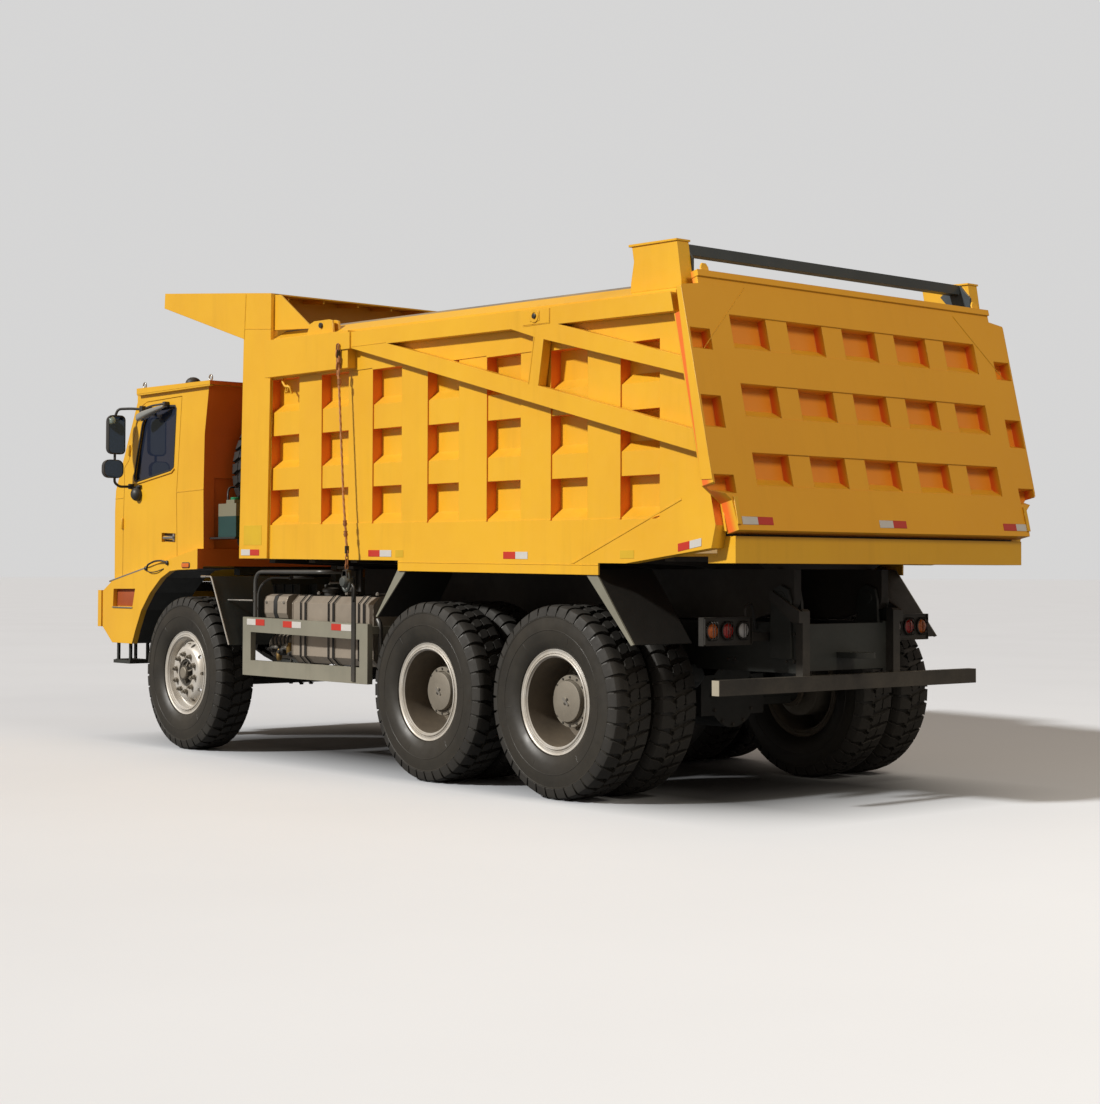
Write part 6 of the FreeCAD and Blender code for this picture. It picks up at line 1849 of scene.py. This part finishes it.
def underside_fittings():
    "spring clips, brake chambers, joints of the shafts, tie rod, air lines, rail bolts"
    s = Shape()
    mid = (Y_MID + Y_REAR) / 2
    for sx in (1, -1):
        for y in (-0.09, 0.09):
            bent(s, [(sx * 0.402, y, 0.56), (sx * 0.402, y, 0.792), (sx * 0.508, y, 0.792),
                     (sx * 0.508, y, 0.56)], 0.011, 0.03, 8, 0)
            for x in (0.402, 0.508):
                s.bolt((sx * x, y, 0.56), (0, 0, -1), 0.019, 0.018, 0)
        for y in (mid - 0.1, mid + 0.1):
            bent(s, [(sx * 0.582, y, 0.85), (sx * 0.582, y, 1.018), (sx * 0.698, y, 1.018),
                     (sx * 0.698, y, 0.85)], 0.013, 0.03, 8, 0)
        for y in (-0.5, 0.5, mid - 0.6, mid + 0.6):
            x0, x1, z = (0.404, 0.506, 0.8) if abs(y) < 1 else (0.584, 0.696, 0.925)
            s.block(sx * x0, sx * x1, y - 0.02, y + 0.02, z, z + 0.004, 0)
        for y in (Y_MID, Y_REAR):
            for k in (-1, 1):
                s.lathe([(0, 0), (0, 0.072), (0.05, 0.078), (0.055, 0.084), (0.075, 0.084), (0.08, 0.078),
                         (0.14, 0.07), (0.15, 0.04), (0.15, 0)], (sx * 0.5, y + k * 0.17, 0.8),
                        (sx * 0.15, k, 0.55), 28, 1)
            s.rod(-0.012, 0.012, 0.13, (sx * 0.79, y, AXLE_Z), "x", 36, 2)
        s.lathe([(0, 0), (0, 0.065), (0.05, 0.075), (0.07, 0.075), (0.12, 0.062), (0.12, 0)],
                (sx * 0.98, -0.12, 0.64), (0, -1, 0.3), 24, 1)
    # differential ribs, cover bolts, joints of the shafts
    for y in (Y_MID, Y_REAR):
        for k in range(12):
            across_x, up_z = math.cos(turn(k, 12)) * 0.222, math.sin(turn(k, 12)) * 0.222
            s.bolt((across_x, y + 0.15, AXLE_Z + up_z), "y", 0.013, 0.012)
    for y, z in ((0.26, 0.877), (Y_MID - 0.4, 0.695), (Y_MID + 0.24, AXLE_Z), (Y_REAR - 0.42, AXLE_Z)):
        s.lathe([(-0.05, 0), (-0.05, 0.06), (-0.02, 0.085), (0.02, 0.085), (0.05, 0.06), (0.05, 0)],
                (0, y, z), "y", 28, 3)
    # tie rod behind the front axle and drag link
    s.pipe([P(-1.1, 0.16, 0.6), P(1.1, 0.16, 0.6)], 0.02, 12, 3)
    # air lines along the rails
    for sx in (1, -1):
        for k in range(3):
            z = 1.12 + 0.035 * k
            bent(s, [(sx * 0.372, 0.72, z), (sx * 0.372, 2.6, z + 0.01), (sx * 0.372, 4.68, z)], 0.008, 0.1,
                 8, 4)
    for k in range(2):
        bent(s, [(0.36 - 0.72 * k, 4.2, 0.99), (0.3 - 0.6 * k, 4.45, 1.0), (0.16 - 0.32 * k, 4.62, 0.92)],
             0.01, 0.08, 8, 4)
    # crossmember rivets and rail bolts that show
    for sx in (1, -1):
        for y in (0.58, 0.64, 1.72, 1.78, 4.76, 4.84, 5.68, 5.74, 6.24, 6.31):
            for z in (0.98, 1.17):
                s.bolt((sx * 0.5002, y, z), (sx, 0, 0), 0.012, 0.01, 0, washer=False)
    mats = ["black_steel_and_painted_shade", "engine_paint", "rim_barrel", "chassis_paint", "black_plastic"]
    settle(s.build("underside_fittings", mats, smooth=35, weld=False), "chassis", "chassis_paint")


def engine_fittings():
    "ribs on the engine's block"
    e = Shape()
    for sx in (1, -1):
        for k in range(9):
            e.block(sx * 0.3802, sx * 0.392, -1.18 + 0.15 * k, -1.165 + 0.15 * k, 0.86, 1.5, 0)
        e.block(sx * 0.3802, sx * 0.398, -1.2, 0.12, 1.17, 1.19, 0)
    settle(e.build("engine_fittings", ["engine_paint"], smooth=0, bevel=0.002, segments=1), "chassis",
           "engine_paint")


class TRUCK_OT_underside(bpy.types.Operator):
    """Spring clips, brake chambers, shafts' joints, tie rod, air lines and engine ribs under the truck"""
    bl_idname = "truck.underside"
    bl_label = "Underside"

    def execute(self, context):
        underside_fittings()
        engine_fittings()
        return {"FINISHED"}


# ---- finishes of the frame's own nodes
NODE_FINISH = {
    "body_paint": ["cab_door", "engine_hood", "bed_front_wall", "bed_canopy", "bed_uprights",
                   "tailgate_arms"],
    "gate_paint": ["tailgate_panel"],
    "cab_paint": ["cab_shell", "front_bumper"],
    "bed_side_paint": ["bed_sides"],
    "bed_floor_paint": ["bed_floor"],
    "chassis_paint": ["frame_rails", "frame_crossmembers", "front_axle_beam", "leaf_springs", "drive_axles",
                      "drive_shafts", "spare_carrier", "knuckle_left", "knuckle_right", "hoist_barrels",
                      "battery_box", "deck_handrail", "boarding_steps", "front_mudguards"],
    "engine_paint": ["engine_block"],
    "beam_paint": ["bed_cross_beam"],
    "guard_paint": ["side_guards"],
    "mudguard_paint": ["bed_mudguards"],
    "bed_under_painted_shade": ["bed_beams"],
    "tank_paint": ["fuel_tank", "air_tanks"],
    "strap_paint": ["tank_brackets"],
    # painted shade: the rear bumper has the guards' grey paint, given as black as it looks in shade
    "black_steel_and_painted_shade": ["rear_bumper"],
    "black_plastic": ["dashboard", "door_mirror", "air_cleaner"],
    "coolant_plastic": ["coolant_bottle"],
    "lamp_red": ["tail_lamps"],
    "hoist_chrome": ["hoist_rods"],
    "window_glass": ["cab_glass", "door_glass"],
    "rope_steel": ["tailgate_ropes"],
    "seat_fabric": ["seat"],
    "tyre_rubber": ["spare_tyre", "front_tyre_left", "front_tyre_right", "middle_tyres_left",
                    "middle_tyres_right", "rear_tyres_left", "rear_tyres_right"],
    "rim_paint": ["spare_rim", "front_rim_left", "front_rim_right", "middle_rims_left", "middle_rims_right",
                  "rear_rims_left", "rear_rims_right"],
}


class TRUCK_OT_finishes(bpy.types.Operator):
    """Paint and other finishes on the frame's own pieces"""
    bl_idname = "truck.finishes"
    bl_label = "Finishes"

    def execute(self, context):
        make_materials(context.scene.truck_paint)
        for finish in (bed_side_paint, gate_paint, cab_paint, bed_floor_paint, mudguard_paint):
            finish(context.scene.truck_paint)
        strap_paint()
        coolant_plastic()
        done = set()
        for mat, names in NODE_FINISH.items():
            for name in names:
                if name not in NODES:
                    continue
                ob = NODES[name]
                if not ob.material_slots:
                    ob.data.materials.append(MATS[mat])
                for s in ob.material_slots:
                    s.material = MATS[mat]
                done.add(name)
        left = set(NODES) - done
        if left:
            raise RuntimeError("no finish for " + ", ".join(sorted(left)))
        return {"FINISHED"}


# ---- stage
FLOOR_HALF = 450.0
SHADOW_TONE = 0.1                     # colour of the painted shadow right under the truck, against the rest
SKY_COLOUR, BACKDROP = (1.0, 0.84, 0.7), (0.745, 0.742, 0.74)
BACKDROP_STRENGTH = 0.9
GLOSSY_SKY = 1.3                      # the sky seen in reflections, against the sky's light
LENS, SENSOR, SHIFT = 63.52, 36.0, (-0.00175, -0.0312)
CAMERA_AT, CAMERA_BACK = (10.441, 13.0731, 1.595), (0.6431, 0.7653, -0.02803)
CAMERA_ROLL = math.radians(0.144)


def studio_floor(settings):
    """plain floor with a painted shadow where the truck stands; it throws back little light"""
    me = bpy.data.meshes.new("floor")
    corners = ((-1, -1), (1, -1), (1, 1), (-1, 1))
    me.from_pydata([(x * FLOOR_HALF, y * FLOOR_HALF, 0) for x, y in corners], [], [(0, 1, 2, 3)])
    floor = linked("floor", me)
    m, t, b = new_mat("floor_paint")
    place_in = own_coords(t)
    c = scaled(settings.floor, (0.97, 1.015, 1.085))     # cool against the warm key light
    seen = mix(t, ramp(t, noise_node(t, place_in, 0.35, 4.0, 0.5), 0.3, 0.7), c, scaled(c, 0.97))
    path = t.nodes.new("ShaderNodeLightPath")
    at = parts(t, place_in)
    # painted shadow under the truck
    under = times(t, band(t, at["X"], -0.75, 0.75, 1.1), band(t, at["Y"], -3.0, 3.4, 1.4))
    seen = mix(t, under, seen, scaled(c, SHADOW_TONE))
    bounce = mix(t, path.outputs["Is Camera Ray"], scaled(c, settings.bounce), seen)
    t.links.new(bounce, b.inputs["Base Color"])
    b.inputs["Roughness"].default_value = 0.75
    me.materials.append(m)


def studio_world(settings):
    "even warm light from all round, with a plain backdrop for the camera"
    w = bpy.data.worlds.new("studio")
    w.use_nodes = True
    t = w.node_tree
    bg = t.nodes["Background"]
    path = t.nodes.new("ShaderNodeLightPath")
    t.links.new(mix(t, path.outputs["Is Camera Ray"], SKY_COLOUR, BACKDROP), bg.inputs["Color"])
    even = ramp(t, path.outputs["Is Glossy Ray"], 0.0, 1.0, settings.sky, settings.sky * GLOSSY_SKY)
    n = t.nodes.new("ShaderNodeMapRange")
    t.links.new(path.outputs["Is Camera Ray"], n.inputs["Value"])
    t.links.new(even, n.inputs["To Min"])
    n.inputs["To Max"].default_value = BACKDROP_STRENGTH
    t.links.new(n.outputs[0], bg.inputs["Strength"])
    bpy.context.scene.world = w


def lamp(name, kind, at, look, power, colour, size):
    "sun of an angle, or disk of a width, aimed at a point"
    d = bpy.data.lights.new(name, kind)
    d.energy, d.color = power, colour
    if kind == "SUN":
        d.angle = size
    else:
        d.shape, d.size = "DISK", size
    ob = linked(name, d)
    ob.location = at
    ob.rotation_euler = (Vector(look) - Vector(at)).to_track_quat("-Z", "Y").to_euler()


def camera():
    data = bpy.data.cameras.new("camera")
    cam = linked("camera", data)
    data.lens, data.sensor_width, data.sensor_fit = LENS, SENSOR, "AUTO"
    data.shift_x, data.shift_y = SHIFT
    data.clip_start, data.clip_end = 0.1, 500
    cam.location = CAMERA_AT
    cam.rotation_mode = "QUATERNION"
    aim = (-Vector(CAMERA_BACK).normalized()).to_track_quat("-Z", "Y")
    cam.rotation_quaternion = aim @ Matrix.Rotation(CAMERA_ROLL, 4, "Z").to_quaternion()
    return cam


class TRUCK_OT_stage(bpy.types.Operator):
    """Floor, lights and camera"""
    bl_idname = "truck.stage"
    bl_label = "Stage"

    def execute(self, context):
        settings = context.scene.truck_stage
        studio_floor(settings)
        studio_world(settings)
        lamp("key", "SUN", (15.0, -3.6, 10.5), (0, 0, 0), settings.key, (1.0, 0.975, 0.93), math.radians(4.0))
        lamp("rear", "AREA", (1.0, 16.0, 13.0), (0, 4.0, 2.6), settings.rear, (1.0, 0.9, 0.74), 5.0)
        context.scene.camera = camera()
        context.scene.view_settings.view_transform = "Standard"
        context.scene.view_settings.look = "None"
        return {"FINISHED"}


# ---- panel, registration and the run in order
class TRUCK_PT_panel(bpy.types.Panel):
    """The truck's settings and its pieces"""
    bl_idname = "TRUCK_PT_panel"
    bl_label = "Dump truck"
    bl_space_type = "VIEW_3D"
    bl_region_type = "UI"
    bl_category = "Truck"

    def draw(self, context):
        col = self.layout.column()
        for group_name in ("truck_paint", "truck_wheels", "truck_stage"):
            settings = getattr(context.scene, group_name)
            for key in settings.bl_rna.properties.keys():
                if key not in ("rna_type", "name"):
                    col.prop(settings, key)
        for op in OPERATORS:
            col.operator(op.bl_idname)


SETTINGS = {"truck_paint": TruckPaint, "truck_wheels": TruckWheels, "truck_stage": TruckStage}
OPERATORS = [TRUCK_OT_stage, TRUCK_OT_finishes, TRUCK_OT_ropes, TRUCK_OT_tyres, TRUCK_OT_rims,
             TRUCK_OT_bed_trim, TRUCK_OT_gate_trim, TRUCK_OT_mirrors, TRUCK_OT_cab_trim, TRUCK_OT_interior,
             TRUCK_OT_tank_trim, TRUCK_OT_front_trim, TRUCK_OT_rear_trim, TRUCK_OT_underside]


def register():
    for c in list(SETTINGS.values()) + OPERATORS + [TRUCK_PT_panel]:
        bpy.utils.register_class(c)
    for key, c in SETTINGS.items():
        setattr(bpy.types.Scene, key, bpy.props.PointerProperty(type=c))


def unregister():
    for key in SETTINGS:
        delattr(bpy.types.Scene, key)
    for c in [TRUCK_PT_panel] + OPERATORS[::-1] + list(SETTINGS.values())[::-1]:
        bpy.utils.unregister_class(c)


def main():
    register()
    for op in OPERATORS:
        area_name, name = op.bl_idname.split(".")
        getattr(getattr(bpy.ops, area_name), name)()


if __name__ == "__main__":
    main()
